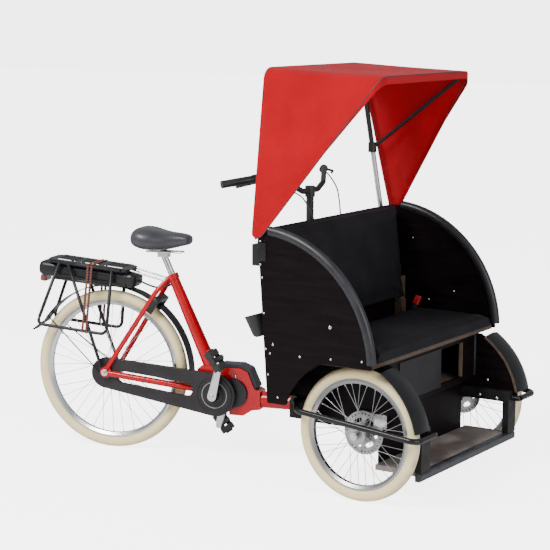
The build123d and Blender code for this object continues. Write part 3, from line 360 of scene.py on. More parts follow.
from_drill = disc_place.math("SQRT", along_ring * along_ring + (reach - DRILL_RING) * (reach - DRILL_RING))
from_middle = disc_place.math("ABSOLUTE", disc_place.axis("Y"))
off_disc = disc_place.math("ABSOLUTE", from_middle - (abs(hub.y) - DISC_IN))
# The drill holes are painted, not cut: the near-black inside them is painted shade seen through the holes.
solid = disc_place.math("MAXIMUM", from_drill.step(*DRILL_EDGE), off_disc.step(*DISC_EDGE))
solid.blend((0.006, 0.006, 0.006, 1.0), (0.42, 0.42, 0.43, 1.0)).into(disc_shader, "Base Color")
brushed = reach.noise(900.0, 2.0)
(0.24 + brushed * 0.12 + disc_place.noise(12.0) * 0.05).into(disc_shader, "Roughness")
dress(disc_silver, "wheel_right", "wheel_left")

TYRE_TALL = 0.0405
TYRE_HALF = 0.0235
TYRE_STEPS = 288
RIB_DEPTH = 0.0011
RIB_FROM, RIB_TO = 0.69, 0.9
# Share of the tyre's height and of its half width, from the rim to the middle of the tread.
tyre_shape = [(0.0, 0.56), (0.06, 0.66), (0.17, 0.82), (0.27, 0.93), (0.4, 0.995), (0.53, 0.985),
              (0.63, 0.93), (0.68, 0.89), (0.69, 0.87), (0.76, 0.79), (0.82, 0.7), (0.825, 0.66),
              (0.86, 0.6), (0.9, 0.5), (0.905, 0.46), (0.955, 0.33), (0.965, 0.3), (0.955, 0.27),
              (0.985, 0.14), (0.99, 0.1), (0.975, 0.06), (0.975, 0.0)]


def tyre(node, axis, body):
    """A tyre over its CAD ring, with grooves round it and ribs across the shoulders."""
    low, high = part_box(node)
    middle = (low + high) / 2
    radius = (high.z - low.z) / 2
    ring = tyre_shape + [(up, -out) for up, out in reversed(tyre_shape[:-1])]
    turn_frame = Vector(axis).to_track_quat("Z", "X").to_matrix()
    points, shares = [], []
    for count in range(TYRE_STEPS):
        angle = 2 * pi * count / TYRE_STEPS
        for up, out in ring:
            rib = RIB_DEPTH if RIB_FROM < up < RIB_TO and count % 4 < 2 else 0.0
            r = radius - TYRE_TALL * (1 - up) - rib
            points.append(middle + turn_frame @ Vector((r * cos(angle), r * sin(angle), out * TYRE_HALF)))
            shares.append(up)
    piece = new_piece(node + "_cream", points, ring_faces(TYRE_STEPS, len(ring)))
    piece.data.attributes.new("across", "FLOAT", "POINT").data.foreach_set("value", shares)
    piece.data.materials.append(cream)
    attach(piece, body)
    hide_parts(node)


front_cross = Vector((0.0, -1.0, 0.0))
tyre("rear_tyre", rear_cross, "back_wheel")
tyre("tyre_right", front_cross, "right_wheel")
tyre("tyre_left", front_cross, "left_wheel")


def repeat_tree(name, inputs):
    """An empty Geometry Nodes tree with named number inputs."""
    tree = bpy.data.node_groups.new(name, "GeometryNodeTree")
    tree.interface.new_socket("Geometry", in_out="INPUT", socket_type="NodeSocketGeometry")
    tree.interface.new_socket("Geometry", in_out="OUTPUT", socket_type="NodeSocketGeometry")
    for label in inputs:
        tree.interface.new_socket(label, in_out="INPUT", socket_type="NodeSocketFloat")
    return tree


def evaluated(piece):
    """A piece as it stands after its modifiers."""
    return piece.evaluated_get(bpy.context.evaluated_depsgraph_get())


def run_tree(name, tree, values, places, body):
    """Runs a tree over points with directions, and keeps the result as a plain mesh on one body."""
    holder = new_piece(name + "_points", [p for p, n in places], [])
    holder.data.attributes.new("facing", "FLOAT_VECTOR", "POINT").data.foreach_set(
        "vector", [c for p, n in places for c in n])
    modifier = holder.modifiers.new("repeat", "NODES")
    modifier.node_group = tree
    for item in tree.interface.items_tree:
        if item.in_out == "INPUT" and item.name in values:
            modifier[item.identifier] = values[item.name]
    made = bpy.data.meshes.new_from_object(evaluated(holder))
    bpy.data.objects.remove(holder)
    made.name = name
    piece = bpy.data.objects.new(name, made)
    scene.collection.objects.link(piece)
    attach(piece, body)


def stud_tree(name, material, rows=6, columns=14):
    """Domed studs standing on points, each turned to its own direction."""
    tree = repeat_tree(name, ["Radius", "Height"])
    add, link = tree.nodes.new, tree.links.new
    start, end = add("NodeGroupInput"), add("NodeGroupOutput")
    dome = add("GeometryNodeMeshUVSphere")
    dome.inputs["Segments"].default_value = columns
    dome.inputs["Rings"].default_value = rows
    dome.inputs["Radius"].default_value = 1.0
    facing = add("GeometryNodeInputNamedAttribute")
    facing.data_type = "FLOAT_VECTOR"
    facing.inputs["Name"].default_value = "facing"
    align = add("FunctionNodeAlignRotationToVector")
    align.axis = "Z"
    link(facing.outputs["Attribute"], align.inputs["Vector"])
    size = add("ShaderNodeCombineXYZ")
    for axis, source in (("X", "Radius"), ("Y", "Radius"), ("Z", "Height")):
        link(start.outputs[source], size.inputs[axis])
    place = add("GeometryNodeInstanceOnPoints")
    link(start.outputs["Geometry"], place.inputs["Points"])
    link(dome.outputs["Mesh"], place.inputs["Instance"])
    link(align.outputs["Rotation"], place.inputs["Rotation"])
    link(size.outputs["Vector"], place.inputs["Scale"])
    paint = add("GeometryNodeSetMaterial")
    paint.inputs["Material"].default_value = material
    chain = [place, add("GeometryNodeRealizeInstances"), add("GeometryNodeSetShadeSmooth"), paint, end]
    for before, after in zip(chain, chain[1:]):
        link(before.outputs[0], after.inputs[0])
    return tree


SPOKES = 36
nipples = stud_tree("nipples", bright_metal, 5, 8)
RIM_DEPTH = 0.019
NIPPLE_SINK = 0.003
NIPPLE_OUT = 0.0025
for node, axis, body in (("rear_tyre", rear_cross, "back_wheel"),
                         ("tyre_right", front_cross, "right_wheel"),
                         ("tyre_left", front_cross, "left_wheel")):
    low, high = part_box(node)
    middle = (low + high) / 2
    inner = (high.z - low.z) / 2 - TYRE_TALL - RIM_DEPTH - NIPPLE_SINK
    turn_frame = Vector(axis).to_track_quat("Z", "X").to_matrix()
    spots = []
    for count in range(SPOKES):
        out = turn_frame @ Vector((cos(2 * pi * count / SPOKES), sin(2 * pi * count / SPOKES), 0.0))
        aside = turn_frame @ Vector((0.0, 0.0, NIPPLE_OUT if count % 2 else -NIPPLE_OUT))
        spots.append((middle + out * inner + aside, out))
    run_tree(body + "_nipples", nipples, {"Radius": 0.0021, "Height": 0.0065}, spots, body)

# Rear steelwork: silver bolts through the cradle, black mudguard, carrier and pannier rails,
# silver struts and seat post, a black ring lock, a black battery case and a small red lamp.
CRADLE_FACE = 0.0362
cradle_spots = [(0.545, 0.337), (0.487, 0.337)]
cradle_bolts = [(rear_place @ Vector((x, -CRADLE_FACE, z)), rear_cross) for x, z in cradle_spots]
run_tree("cradle_bolts", nipples, {"Radius": 0.0065, "Height": 0.004}, cradle_bolts, "frame")
black_gloss = worn_finish("black_gloss", (0.014, 0.014, 0.015), (0.008, 0.008, 0.009), (0.2, 0.32), 0.06,
                          0.002, 0.00004, shine=0.3)
black_satin = worn_finish("black_satin", (0.02, 0.02, 0.022), (0.012, 0.012, 0.014), (0.34, 0.48), 0.05,
                          0.0012, 0.00006, shine=0.35)
battery_black = worn_finish("battery_black", (0.014, 0.014, 0.016), (0.008, 0.008, 0.009), (0.3, 0.42),
                            0.07, 0.0007, 0.00006, shine=0.35)
guard_black = worn_finish("guard_black", (0.01, 0.01, 0.011), (0.006, 0.006, 0.007), (0.3, 0.4), 0.06,
                          0.002, 0.00004, shine=0.1)
dress(guard_black, "rear_mudguard")
dress(black_satin, "carrier_deck")
CARRIER_AT = (-0.082, 0.762)
CARRIER_TILT = radians(5.0)
carrier_place = (rear_place @ Matrix.Translation((CARRIER_AT[0], 0.0, CARRIER_AT[1]))
                 @ Matrix.Rotation(CARRIER_TILT, 4, "Y"))
CARRIER_RAIL = 0.0068
RAIL_BEND = 0.03
RAIL_ROUND = 12
HANDS = ((-1, "right"), (1, "left"))
SLANT = Vector((0.31, 0.17, 0.93))


def run_faces(count, rows):
    """The faces of a closed section carried along a number of places, with both ends closed."""
    faces = [(n * rows + k, (n + 1) * rows + k, (n + 1) * rows + (k + 1) % rows, n * rows + (k + 1) % rows)
             for n in range(count - 1) for k in range(rows)]
    return faces + [tuple(range(rows)), tuple(range(count * rows - 1, (count - 1) * rows - 1, -1))]


def edge_tube(name, line, radius, material, body, steps=8):
    """A round tube along a line of points."""
    count = len(line)
    points = []
    for n, here in enumerate(line):
        ahead = (line[min(n + 1, count - 1)] - line[max(n - 1, 0)]).normalized()
        side = ahead.cross(SLANT).normalized()
        up = side.cross(ahead)
        points += [here + radius * (side * cos(2 * pi * a / steps) + up * sin(2 * pi * a / steps))
                   for a in range(steps)]
    piece = new_piece(name, points, run_faces(count, steps))
    piece.data.materials.append(material)
    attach(piece, body)
    return piece


def bent(corners, radius, steps=7):
    """A line through corners, each rounded off."""
    corners = [Vector(c) for c in corners]
    line = [corners[0]]
    for before, here, after in zip(corners, corners[1:], corners[2:]):
        start = here + (before - here).normalized() * radius
        end = here + (after - here).normalized() * radius
        for n in range(steps + 1):
            t = n / steps
            line.append(start * (1 - t) ** 2 + here * (2 * t * (1 - t)) + end * t ** 2)
    return line + [corners[-1]]


# Along, out and up on the carrier: its top rail, the bent pannier hoop and the rail beside the battery.
top_rail = [(-0.158, 0.0683, -0.006), (0.148, 0.0683, -0.006)]
hoop = [(0.112, 0.0683, -0.006), (0.112, 0.0803, -0.272), (-0.196, 0.0803, -0.272),
        (-0.118, 0.0683, -0.006)]
low_rail = [(-0.139, 0.0713, -0.072), (0.112, 0.0713, -0.072)]
LEG_FOOT = (-0.015, 0.0833, 0.343)
for side, hand in HANDS:
    leg_foot = carrier_place.inverted() @ rear_place @ Vector(LEG_FOOT)
    leg = [(-0.082, 0.0683, -0.006), tuple(leg_foot)]
    for part, corners in (("rail", top_rail), ("hoop", hoop), ("low_rail", low_rail), ("leg", leg)):
        line = [carrier_place @ Vector((p.x, side * p.y, p.z)) for p in bent(corners, RAIL_BEND)]
        rail = edge_tube(f"carrier_{part}_{hand}", line, CARRIER_RAIL, black_satin, "frame",
                         RAIL_ROUND)
        if part == "rail" and side < 0:
            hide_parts("carrier_sides")
BATTERY_LOW, BATTERY_HIGH = (-0.223, -0.052, -0.0773), (0.207, 0.052, -0.0153)
BAND_LOW, BAND_HIGH = (0.166, -0.0524, -0.0777), (0.17, 0.0524, -0.0149)
battery_case = slab("battery_case", BATTERY_LOW, BATTERY_HIGH, carrier_place, battery_black, 0.024, "frame")
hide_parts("battery")
battery_band = slab("battery_band", BAND_LOW, BAND_HIGH, carrier_place, black_satin, 0.0238, "frame")
for piece in (battery_case, battery_band):
    piece.modifiers["eased"].segments = 6
dress(bright_metal, "carrier_struts", "seat_post", "rear_axle", "steering_pin", "front_axle_stubs")
dress(black_satin, "ring_lock", edge=0.003)
lamp_red, lamp_shader, lamp_place = bare_finish("lamp_red", Roughness=0.12, Coat_Weight=0.8)
cells = lamp_place.node("ShaderNodeTexVoronoi", {"Vector": lamp_place, "Scale": 260.0}, "Distance")
cell_tone = cells.step(0.1, 0.7)
cell_tone.blend((0.3, 0.006, 0.008, 1.0), (0.16, 0.002, 0.004, 1.0)).into(lamp_shader, "Base Color")
emboss(lamp_shader, cells, 0.0005)
dress(lamp_red, "tail_lamp")

strap_weave, strap_shader, strap_place = bare_finish("strap_weave", Roughness=0.8)
STRAP_FOLD = 0.0045
STRAP_REPEAT = 0.011
along = strap_place.axis("Z")
across_strap = strap_place.axis("X") * cos(PARK_STEER) + strap_place.axis("Y") * sin(PARK_STEER)
bend = across_strap.math("PINGPONG", across_strap, STRAP_FOLD)
chevron = bend.math("FRACT", (along + bend * 1.1) * (1.0 / STRAP_REPEAT))
chevron.step(0.42, 0.58).blend((0.02, 0.018, 0.018, 1.0), (0.26, 0.07, 0.05, 1.0)).into(strap_shader,
                                                                                        "Base Color")
emboss(strap_shader, chevron.math("FRACT", along * 900.0), 0.0003)
dress(strap_weave, "carrier_strap")

# Saddle: a moulded foam top under one smooth black cover, high and broad at the back
# and falling to a blunt nose, on twin rails.
saddle_skin, saddle_shader, saddle_place = bare_finish("saddle_skin", Coat_Weight=0.15)
grain = saddle_place.node("ShaderNodeTexVoronoi", {"Vector": saddle_place, "Scale": 900.0}, "Distance")
worn = saddle_place.noise(14.0, 4.0).step(0.3, 0.7)
worn.blend((0.032, 0.032, 0.038, 1.0), (0.05, 0.05, 0.058, 1.0)).into(saddle_shader, "Base Color")
(0.3 + worn * 0.1 + grain * 0.06).into(saddle_shader, "Roughness")
emboss(saddle_shader, grain, 0.00015)
SADDLE_REAR = 0.106
SADDLE_LONG = 0.237
SADDLE_LOW = 0.826
SADDLE_DIP = 0.006
# Share along from the rear, half width, height of the top over the base, and of the skirt.
saddle_rows = [(0.0, 0.055, 0.064, 0.032), (0.03, 0.08, 0.084, 0.018), (0.12, 0.098, 0.095, 0.007),
               (0.26, 0.103, 0.094, 0.001), (0.4, 0.094, 0.086, 0.0), (0.54, 0.072, 0.079, 0.001),
               (0.68, 0.052, 0.075, 0.008), (0.82, 0.041, 0.073, 0.017), (0.93, 0.037, 0.069, 0.024),
               (0.985, 0.034, 0.064, 0.027), (1.0, 0.025, 0.056, 0.033)]
SADDLE_ROUND = 20
points = []
for share, half, top, skirt in saddle_rows:
    x = SADDLE_REAR + share * SADDLE_LONG
    dip = SADDLE_DIP * max(0.0, 1 - abs(share - 0.3) / 0.3)
    for count in range(SADDLE_ROUND):
        a = 2 * pi * count / SADDLE_ROUND
        wide = abs(cos(a)) ** 0.75 * (1 if cos(a) > 0 else -1)
        tall = abs(sin(a)) ** 0.8 * (1 if sin(a) > 0 else -1)
        middle_z = skirt + (top - skirt) * 0.45
        z = middle_z + (top - middle_z if tall > 0 else middle_z - skirt) * tall
        z -= dip * max(0.0, 1 - (wide / 0.45) ** 2) if tall > 0 else 0.0
        points.append(rear_place @ Vector((x, half * wide, SADDLE_LOW + z)))
n = SADDLE_ROUND
faces = [(r * n + c, r * n + (c + 1) % n, (r + 1) * n + (c + 1) % n, (r + 1) * n + c)
         for r in range(len(saddle_rows) - 1) for c in range(n)]
faces.append(tuple(range(n - 1, -1, -1)))
faces.append(tuple(range(len(points) - n, len(points))))
saddle_top = new_piece("saddle_top", points, faces)
saddle_soft = saddle_top.modifiers.new("soft", "SUBSURF")
saddle_soft.levels = saddle_soft.render_levels = 2
saddle_top.data.materials.append(saddle_skin)
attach(saddle_top, "frame")
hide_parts("saddle")

# Front chassis and guard bars: black box rails and bent tube, dusty underneath, and silver
# callipers on the discs. Crowned black strips stand over the wheels, and a thick soft
# edging runs round the box's sides.
chassis_black = worn_finish("chassis_black", (0.016, 0.015, 0.015), (0.008, 0.008, 0.008), (0.4, 0.6), 0.05,
                            0.0015, 0.0001, shine=0.2)
dress(chassis_black, "front_chassis", edge=0.003)
dress(black_gloss, "guard_bars")
dress(bright_metal, "brake_callipers", edge=0.001)
rubber_black = worn_finish("rubber_black", (0.009, 0.009, 0.011), (0.005, 0.005, 0.006), (0.3, 0.4), 0.04,
                           0.0009, 0.0001, shine=0.3)
EDGE_MID = (STEER_PIVOT + 0.05, 0.226)
ARCH_IN, ARCH_OUT = 0.364, 0.472
ARCH_R = 0.3221
ARCH_EDGE = 0.0035
ARCH_CROWN = 0.0085
ARCH_FROM, ARCH_TO = 11.5, 57.5
ARCH_STEPS = 44
CROWN_STEPS = 12


def bowed(name, section, middle, first, last, steps, material):
    """A rail with a closed section of (radius, y) points, bowed about a cross axis between two angles."""
    points = []
    for n in range(steps + 1):
        a = radians(first + (last - first) * n / steps)
        points += [(middle[0] + r * cos(a), y, middle[1] + r * sin(a)) for r, y in section]
    piece = new_piece(name, points, run_faces(steps + 1, len(section)))
    ease_edges(piece, 0.0015, 2, 50.0)
    piece.data.materials.append(material)
    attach(piece, "front_box")
    return piece


for side, hand in HANDS:
    crown = [(ARCH_R + ARCH_EDGE + ARCH_CROWN * sin(pi * n / CROWN_STEPS) ** 0.7,
              ARCH_IN + (ARCH_OUT - ARCH_IN) * n / CROWN_STEPS) for n in range(CROWN_STEPS + 1)]
    arch_section = [(r, side * y) for r, y in crown] + [(ARCH_R, side * ARCH_OUT), (ARCH_R, side * ARCH_IN)]
    arch = bowed("mudguard_" + hand, arch_section[::-side], EDGE_MID, ARCH_FROM, ARCH_TO, ARCH_STEPS,
                 rubber_black)
    if side < 0:
        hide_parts("wheel_arches")
rubber_grey = worn_finish("rubber_grey", (0.022, 0.022, 0.026), (0.013, 0.013, 0.015), (0.32, 0.44), 0.06,
                          0.0012, 0.0001, shine=0.4)
TRIM_MID = (STEER_PIVOT - 0.28005, 0.5)
TRIM_BOW = 0.483
TRIM_R = 0.0185
TRIM_OUT = 0.498
TRIM_FLAT = 0.92
TRIM_FROM, TRIM_TO = 3.6, 84.5
TRIM_ROUND = 18
TRIM_STEPS = 94
for side, hand in HANDS:
    angles = [2 * pi * n / TRIM_ROUND for n in range(TRIM_ROUND)]
    trim_section = [(TRIM_BOW + TRIM_R * cos(a), side * TRIM_OUT - TRIM_R * TRIM_FLAT * sin(a))
                    for a in angles]
    edging = bowed("edge_trim_" + hand, trim_section, TRIM_MID, TRIM_FROM, TRIM_TO, TRIM_STEPS, rubber_grey)
    if side < 0:
        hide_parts("tub_edge_trims")

# Box: film-faced plywood, very dark brown with a faint mesh in the film and paler raw
# edges, riveted to hidden battens with small silver domes.
ply_film, ply_shader, ply_place = bare_finish("ply_film", shine=0.08)
streak = ply_place.noise(6.0, 5.0, (1.0, 1.0, 9.0)).step(0.25, 0.8)
scuff = ply_place.noise(30.0, 6.0, (1.0, 1.0, 0.3)).step(0.62, 0.8)
film = streak.blend((0.0032, 0.0018, 0.0024, 1.0), (0.0075, 0.0042, 0.0048, 1.0))
(scuff * 0.35).blend(film, (0.02, 0.015, 0.014, 1.0)).into(ply_shader, "Base Color")
MESH_PER_METRE = 160.0
mesh_x = ply_place.math("FRACT", ply_place.axis("X") * MESH_PER_METRE)
mesh_z = ply_place.math("FRACT", ply_place.axis("Z") * MESH_PER_METRE)
hatch = mesh_x.step(0.1, 0.3) * mesh_z.step(0.1, 0.3)
(0.36 + streak * 0.12 + scuff * 0.15).into(ply_shader, "Roughness")
emboss(ply_shader, hatch * 0.2 + ply_place.noise(500.0), 0.00012)
dress(ply_film, "tub_sides", "tub_back", "lower_sides", "rear_skirts", "seat_riser", "under_seat_panels",
      edge=0.0012)
ply_edge = worn_finish("ply_edge", (0.1, 0.062, 0.04), (0.05, 0.032, 0.022), (0.5, 0.65), 0.02, 0.0015,
                       0.0002)
dress(ply_edge, "seat_board", "corner_battens", edge=0.0015)
flap_grey = worn_finish("flap_grey", (0.028, 0.025, 0.03), (0.018, 0.016, 0.019), (0.45, 0.6), 0.05, 0.001,
                        0.0001, shine=0.15)
dress(flap_grey, "store_flap", edge=0.0012)
foot_wood, foot_shader, foot_place = bare_finish("foot_wood")
wear = foot_place.noise(7.0, 6.0, (1.0, 0.6, 1.0)).step(0.35, 0.7)
dust = foot_place.noise(60.0, 4.0)
foot_base = wear.blend((0.13, 0.098, 0.086, 1.0), (0.44, 0.38, 0.35, 1.0))
(dust * 0.5).blend(foot_base, (0.15, 0.13, 0.12, 1.0)).into(foot_shader, "Base Color")
(0.55 + wear * 0.2).into(foot_shader, "Roughness")
emboss(foot_shader, dust + wear * 0.4, 0.0004)
dress(foot_wood, "footboard", edge=0.0015)
nosing_grey = worn_finish("nosing_grey", (0.05, 0.052, 0.06), (0.026, 0.027, 0.031), (0.35, 0.5), 0.05,
                          0.001, 0.0001, shine=0.35)
dress(nosing_grey, "foot_nosing", edge=0.001)

SIDE_FACE = 0.504
batten_low, batten_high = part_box("corner_battens")
# Limits of each block: forward of the steering pivot, out from the middle, and up.
BATTEN_TOP = ((batten_low.x - STEER_PIVOT, batten_high.x - STEER_PIVOT - 0.004), (0.459, 0.4915),
              (batten_high.z - 0.001, 0.69))
CORNER_PLATE = ((-0.2815, -0.246), (SIDE_FACE, SIDE_FACE + 0.0035), (0.868, 0.936))
RISER_ANGLE = ((0.1822, 0.1852), (0.353, 0.3635), (0.34, 0.502))
STORE_FLOOR = ((-0.18, 0.1695), (-0.36, 0.36), (0.3362, 0.3382))
STORE_JAMB = ((0.1685, 0.1835), (0.2475, 0.2505), (0.3525, 0.4895))
RAW_LOW, RAW_HIGH = ARCH_R - 0.006, ARCH_R + ARCH_EDGE
RAW_IN, RAW_OUT = ARCH_IN - 0.0016, ARCH_IN - 0.0001
RAW_SHORT = 0.1


def beside(side, name, block, material, ease):
    """A block between its limits on one side of the box."""
    (x0, x1), outs, (z0, z1) = block
    y0, y1 = sorted(side * y for y in outs)
    slab(name, (STEER_PIVOT + x0, y0, z0), (STEER_PIVOT + x1, y1, z1), Matrix.Identity(4), material, ease,
         "front_box")


for side, hand in HANDS:
    beside(side, "batten_top_" + hand, BATTEN_TOP, ply_edge, 0.0015)
    beside(side, "corner_plate_" + hand, CORNER_PLATE, black_gloss, 0.0012)
    beside(side, "riser_angle_" + hand, RISER_ANGLE, nosing_grey, 0.0006)
    y0, y1 = sorted((side * RAW_IN, side * RAW_OUT))
    raw_edge = [(RAW_LOW, y1), (RAW_HIGH, y1), (RAW_HIGH, y0), (RAW_LOW, y0)]
    bowed("raw_edge_" + hand, raw_edge, EDGE_MID, ARCH_FROM + RAW_SHORT, ARCH_TO - RAW_SHORT, ARCH_STEPS,
          ply_edge)
store_brown = worn_finish("store_brown", (0.2, 0.13, 0.085), (0.12, 0.08, 0.055), (0.5, 0.65), 0.06, 0.002,
                          0.0002)
beside(1, "store_floor", STORE_FLOOR, store_brown, 0.0005)
beside(1, "store_jamb", STORE_JAMB, store_brown, 0.0005)
# Forward of the steering pivot and height of each rivet in a side.
side_rivets = [(-0.272, 0.942), (-0.272, 0.855), (-0.264, 0.807), (-0.256, 0.675), (-0.215, 0.56),
               (-0.246, 0.541), (-0.228, 0.526), (-0.097, 0.528), (0.035, 0.534), (0.165, 0.54),
               (-0.236, 0.446), (-0.193, 0.364), (-0.145, 0.36)]
inside_rivets = [(0.016, 0.644), (-0.1, 0.6), (-0.18, 0.85)]
lower_rivets = [(0.19, 0.47), (0.3, 0.4), (0.33, 0.3), (0.02, 0.48), (-0.13, 0.48)]
LOWER_FACE = 0.376
RAIL_FACE = 0.324
RIVET_LIFT = 0.0003
BOLT_LIFT = 0.0005
PLY_THICK = 0.012


def studs_on(face, outward, places):
    """Spots for studs on both sides of the box, on faces turned out (1) or in (-1)."""
    return [((STEER_PIVOT + x, side * face, z), (0.0, side * outward, 0.0))
            for side in (-1, 1) for x, z in places]


rivet_tree = stud_tree("rivets", bright_metal)
spots = studs_on(SIDE_FACE + RIVET_LIFT, 1, side_rivets)
spots += studs_on(SIDE_FACE - PLY_THICK - RIVET_LIFT, -1, inside_rivets)
spots += studs_on(LOWER_FACE + RIVET_LIFT, 1, lower_rivets)
run_tree("box_rivets", rivet_tree, {"Radius": 0.0046, "Height": 0.0024}, spots, "front_box")
bolts = studs_on(SIDE_FACE + BOLT_LIFT, 1, [(0.031, 0.651)])
bolts += studs_on(RAIL_FACE - BOLT_LIFT, -1, [(0.225, 0.272), (0.3, 0.266)])
bolts += studs_on(LOWER_FACE - PLY_THICK - BOLT_LIFT, -1, [(0.238, 0.325)])
run_tree("box_bolts", rivet_tree, {"Radius": 0.0075, "Height": 0.004}, bolts, "front_box")

# Cushions: foam pads under a charcoal woven cover, swollen a little between their edges,
# flat where they rest on the board and the back wall.
cover_cloth, cover_shader, cover_place = bare_finish("cover_cloth", Roughness=0.7, shine=0.22)
THREAD_TURNS = 2600.0
weft = cover_place.math("SINE", cover_place.axis("Y") * THREAD_TURNS)
thread = weft + cover_place.math("SINE", (cover_place.axis("X") + cover_place.axis("Z")) * THREAD_TURNS)
fade = cover_place.noise(9.0, 5.0).step(0.3, 0.75)
fade.blend((0.0045, 0.0046, 0.0066, 1.0), (0.009, 0.009, 0.0125, 1.0)).into(cover_shader, "Base Color")
emboss(cover_shader, thread * 0.15 + cover_place.noise(26.0, 3.0) * 3.0, 0.0009)
SWELL_FRAMES = 20


def swollen(name, node, cell, shrink, cap, rests):
    """A pad blown up like cloth from a CAD solid a little smaller, held flat where it rests."""
    low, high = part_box(node)
    middle = (low + high) / 2
    piece = bpy.data.objects.new(name, frame["nodes"][node].data.copy())
    scene.collection.objects.link(piece)
    piece.data.materials.clear()
    remesh = piece.modifiers.new("even", "REMESH")
    remesh.mode = "VOXEL"
    remesh.voxel_size = cell
    mesh = bpy.data.meshes.new_from_object(evaluated(piece))
    piece.modifiers.clear()
    piece.data = mesh
    mesh.name = name
    for vertex in mesh.vertices:
        for axis in range(3):
            span = (high[axis] - low[axis]) / 2
            vertex.co[axis] = middle[axis] + (vertex.co[axis] - middle[axis]) * (1 - shrink[axis] / span)
    held = piece.vertex_groups.new(name="rests")
    held.add([v.index for v in mesh.vertices if rests(v.co)], 1.0, "REPLACE")
    start = [v.co.copy() for v in mesh.vertices]
    cloth = piece.modifiers.new("fill", "CLOTH").settings
    cloth.quality = 4
    cloth.mass = 0.25
    cloth.use_pressure = True
    cloth.uniform_pressure_force = 4.0
    cloth.effector_weights.gravity = 0.0
    cloth.vertex_group_mass = "rests"
    for step in range(1, SWELL_FRAMES + 1):
        scene.frame_set(step)
    settled = evaluated(piece).to_mesh()
    moved = [v.co.copy() for v in settled.vertices]
    piece.modifiers.clear()
    scene.frame_set(1)
    for vertex, old, new in zip(mesh.vertices, start, moved):
        shift = new - old
        if shift.length > cap:
            shift *= cap / shift.length
        vertex.co = old + shift
    mesh.polygons.foreach_set("use_smooth", [True] * len(mesh.polygons))
    soft = piece.modifiers.new("soft", "SUBSURF")
    soft.levels = soft.render_levels = 1
    mesh.materials.append(cover_cloth)
    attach(piece, "front_box")
    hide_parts(node)


seat_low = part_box("seat_cushion")[0]
PAD_CELL = 0.009
PAD_SWELL = 0.012
SEAT_HELD = 0.008
BACK_HELD = 0.012
swollen("seat_pad", "seat_cushion", PAD_CELL, (0.004, 0.004, 0.003), PAD_SWELL,
        lambda p: p.z < seat_low.z + SEAT_HELD)
back_low, back_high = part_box("back_cushion")
BACK_LEAN = tan(radians(4.0))


def near_wall(p):
    """Whether a point lies against the leaning back wall."""
    foot_x = back_low.x + BACK_LEAN * (back_high.z - back_low.z)
    return p.x + BACK_LEAN * (p.z - back_low.z) < foot_x + BACK_HELD


swollen("back_pad", "back_cushion", PAD_CELL, (0.003, 0.004, 0.004), PAD_SWELL, near_wall)
belt_red = worn_finish("belt_red", (0.45, 0.012, 0.012), (0.3, 0.008, 0.008), (0.3, 0.42), 0.02, 0.0008,
                       0.00008)
BUCKLE_AT = (STEER_PIVOT - 0.112, 0.412, 0.604)
BUCKLE_LEAN = radians(22.0)
BUCKLE_TIP = radians(14.0)
BUCKLE_LOW, BUCKLE_HIGH = (-0.013, -0.008, -0.016), (0.013, 0.008, 0.022)
STALK_LOW, STALK_HIGH = (-0.009, -0.004, -0.042), (0.009, 0.004, -0.014)
for side, hand in HANDS:
    tilt = (Matrix.Translation((BUCKLE_AT[0], side * BUCKLE_AT[1], BUCKLE_AT[2]))
            @ Matrix.Rotation(-BUCKLE_LEAN * side, 4, "X") @ Matrix.Rotation(BUCKLE_TIP, 4, "Y"))
    buckle = slab("buckle_" + hand, BUCKLE_LOW, BUCKLE_HIGH, tilt, belt_red, 0.004, "front_box")
    slab("buckle_stalk_" + hand, STALK_LOW, STALK_HIGH, tilt, black_satin, 0.002, "front_box")
    if side < 0:
        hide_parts("belt_buckles")

# Hood frame: bent tubes standing in black sockets at the box's corners, bare silver up to
# the clamps and painted near-black above them as painted shade, with a front bow that holds out the brow of
# the cloth.
SOCKET_TOP = (0.929, 0.93)
CLAMP_LOW = (1.2, 1.205)
bow_metal, bow_shader, bow_place = bare_finish("bow_metal")
# Black below the socket tops is the sockets' own colour; black above the clamps is painted shade on the
# tubes.
socket_and_shaded_top = bow_place.axis("Z").step(*CLAMP_LOW) + (1.0 - bow_place.axis("Z").step(*SOCKET_TOP))
cloud = bow_place.noise(40.0, 4.0)
socket_and_shaded_top.blend((0.6, 0.6, 0.61, 1.0), (0.009, 0.008, 0.008, 1.0)).into(bow_shader, "Base Color")
(1.0 - socket_and_shaded_top * 0.8).into(bow_shader, "Metallic")
(0.24 + cloud * 0.14 + socket_and_shaded_top * 0.1).into(bow_shader, "Roughness")
emboss(bow_shader, bow_place.noise(900.0), 0.00003)
dress(bow_metal, "hood_frame")

# Hood: one red coated sheet stretched over the bows, cut on a slant from the brow to the
# box's rear corners, with a piped front edge and soft folds down its sides.
HOOD_FROM = STEER_PIVOT - 0.42
HOOD_LOW_HALF = 0.5165
HOOD_LOW_Z = 0.955
HOOD_TOP_HALF = 0.3495
HOOD_TOP_Z = 1.572
HOOD_BEND = 0.060
HOOD_FALL = tan(radians(2.6))
HOOD_TIP = (STEER_PIVOT - 0.263, 0.957)
HOOD_BROW = (STEER_PIVOT + 0.14, 1.542)
HOOD_HEEL = (STEER_PIVOT - 0.303, 0.955)
HEEL_LEAN = 5.4 / 61.0
TIP_ROUND = 0.02
HEM_DROP = 0.028
HEM_COLUMNS = 4
HEM_TUCK = Vector((0.003, 0.007, HEM_DROP))
WAIST_IN = 0.012
FOLD_DEPTH = 0.0075
ROOF_SAG = 0.009
hood_red, hood_shader, hood_place = bare_finish("hood_red", shine=0.12)
spread = hood_place.node("ShaderNodeUVMap", uv_map="cut")
run_u, run_v = spread.axis("X"), spread.axis("Y")
tone = hood_place.noise(5.0, 4.0).step(0.3, 0.7)
tone.blend((0.42, 0.0, 0.006, 1.0), (0.5, 0.0, 0.008, 1.0)).into(hood_shader, "Base Color")
(0.32 + tone * 0.1).into(hood_shader, "Roughness")
WEAVE_TURNS = 5000.0
weave = hood_place.math("SINE", run_u * WEAVE_TURNS) * hood_place.math("SINE", run_v * WEAVE_TURNS)
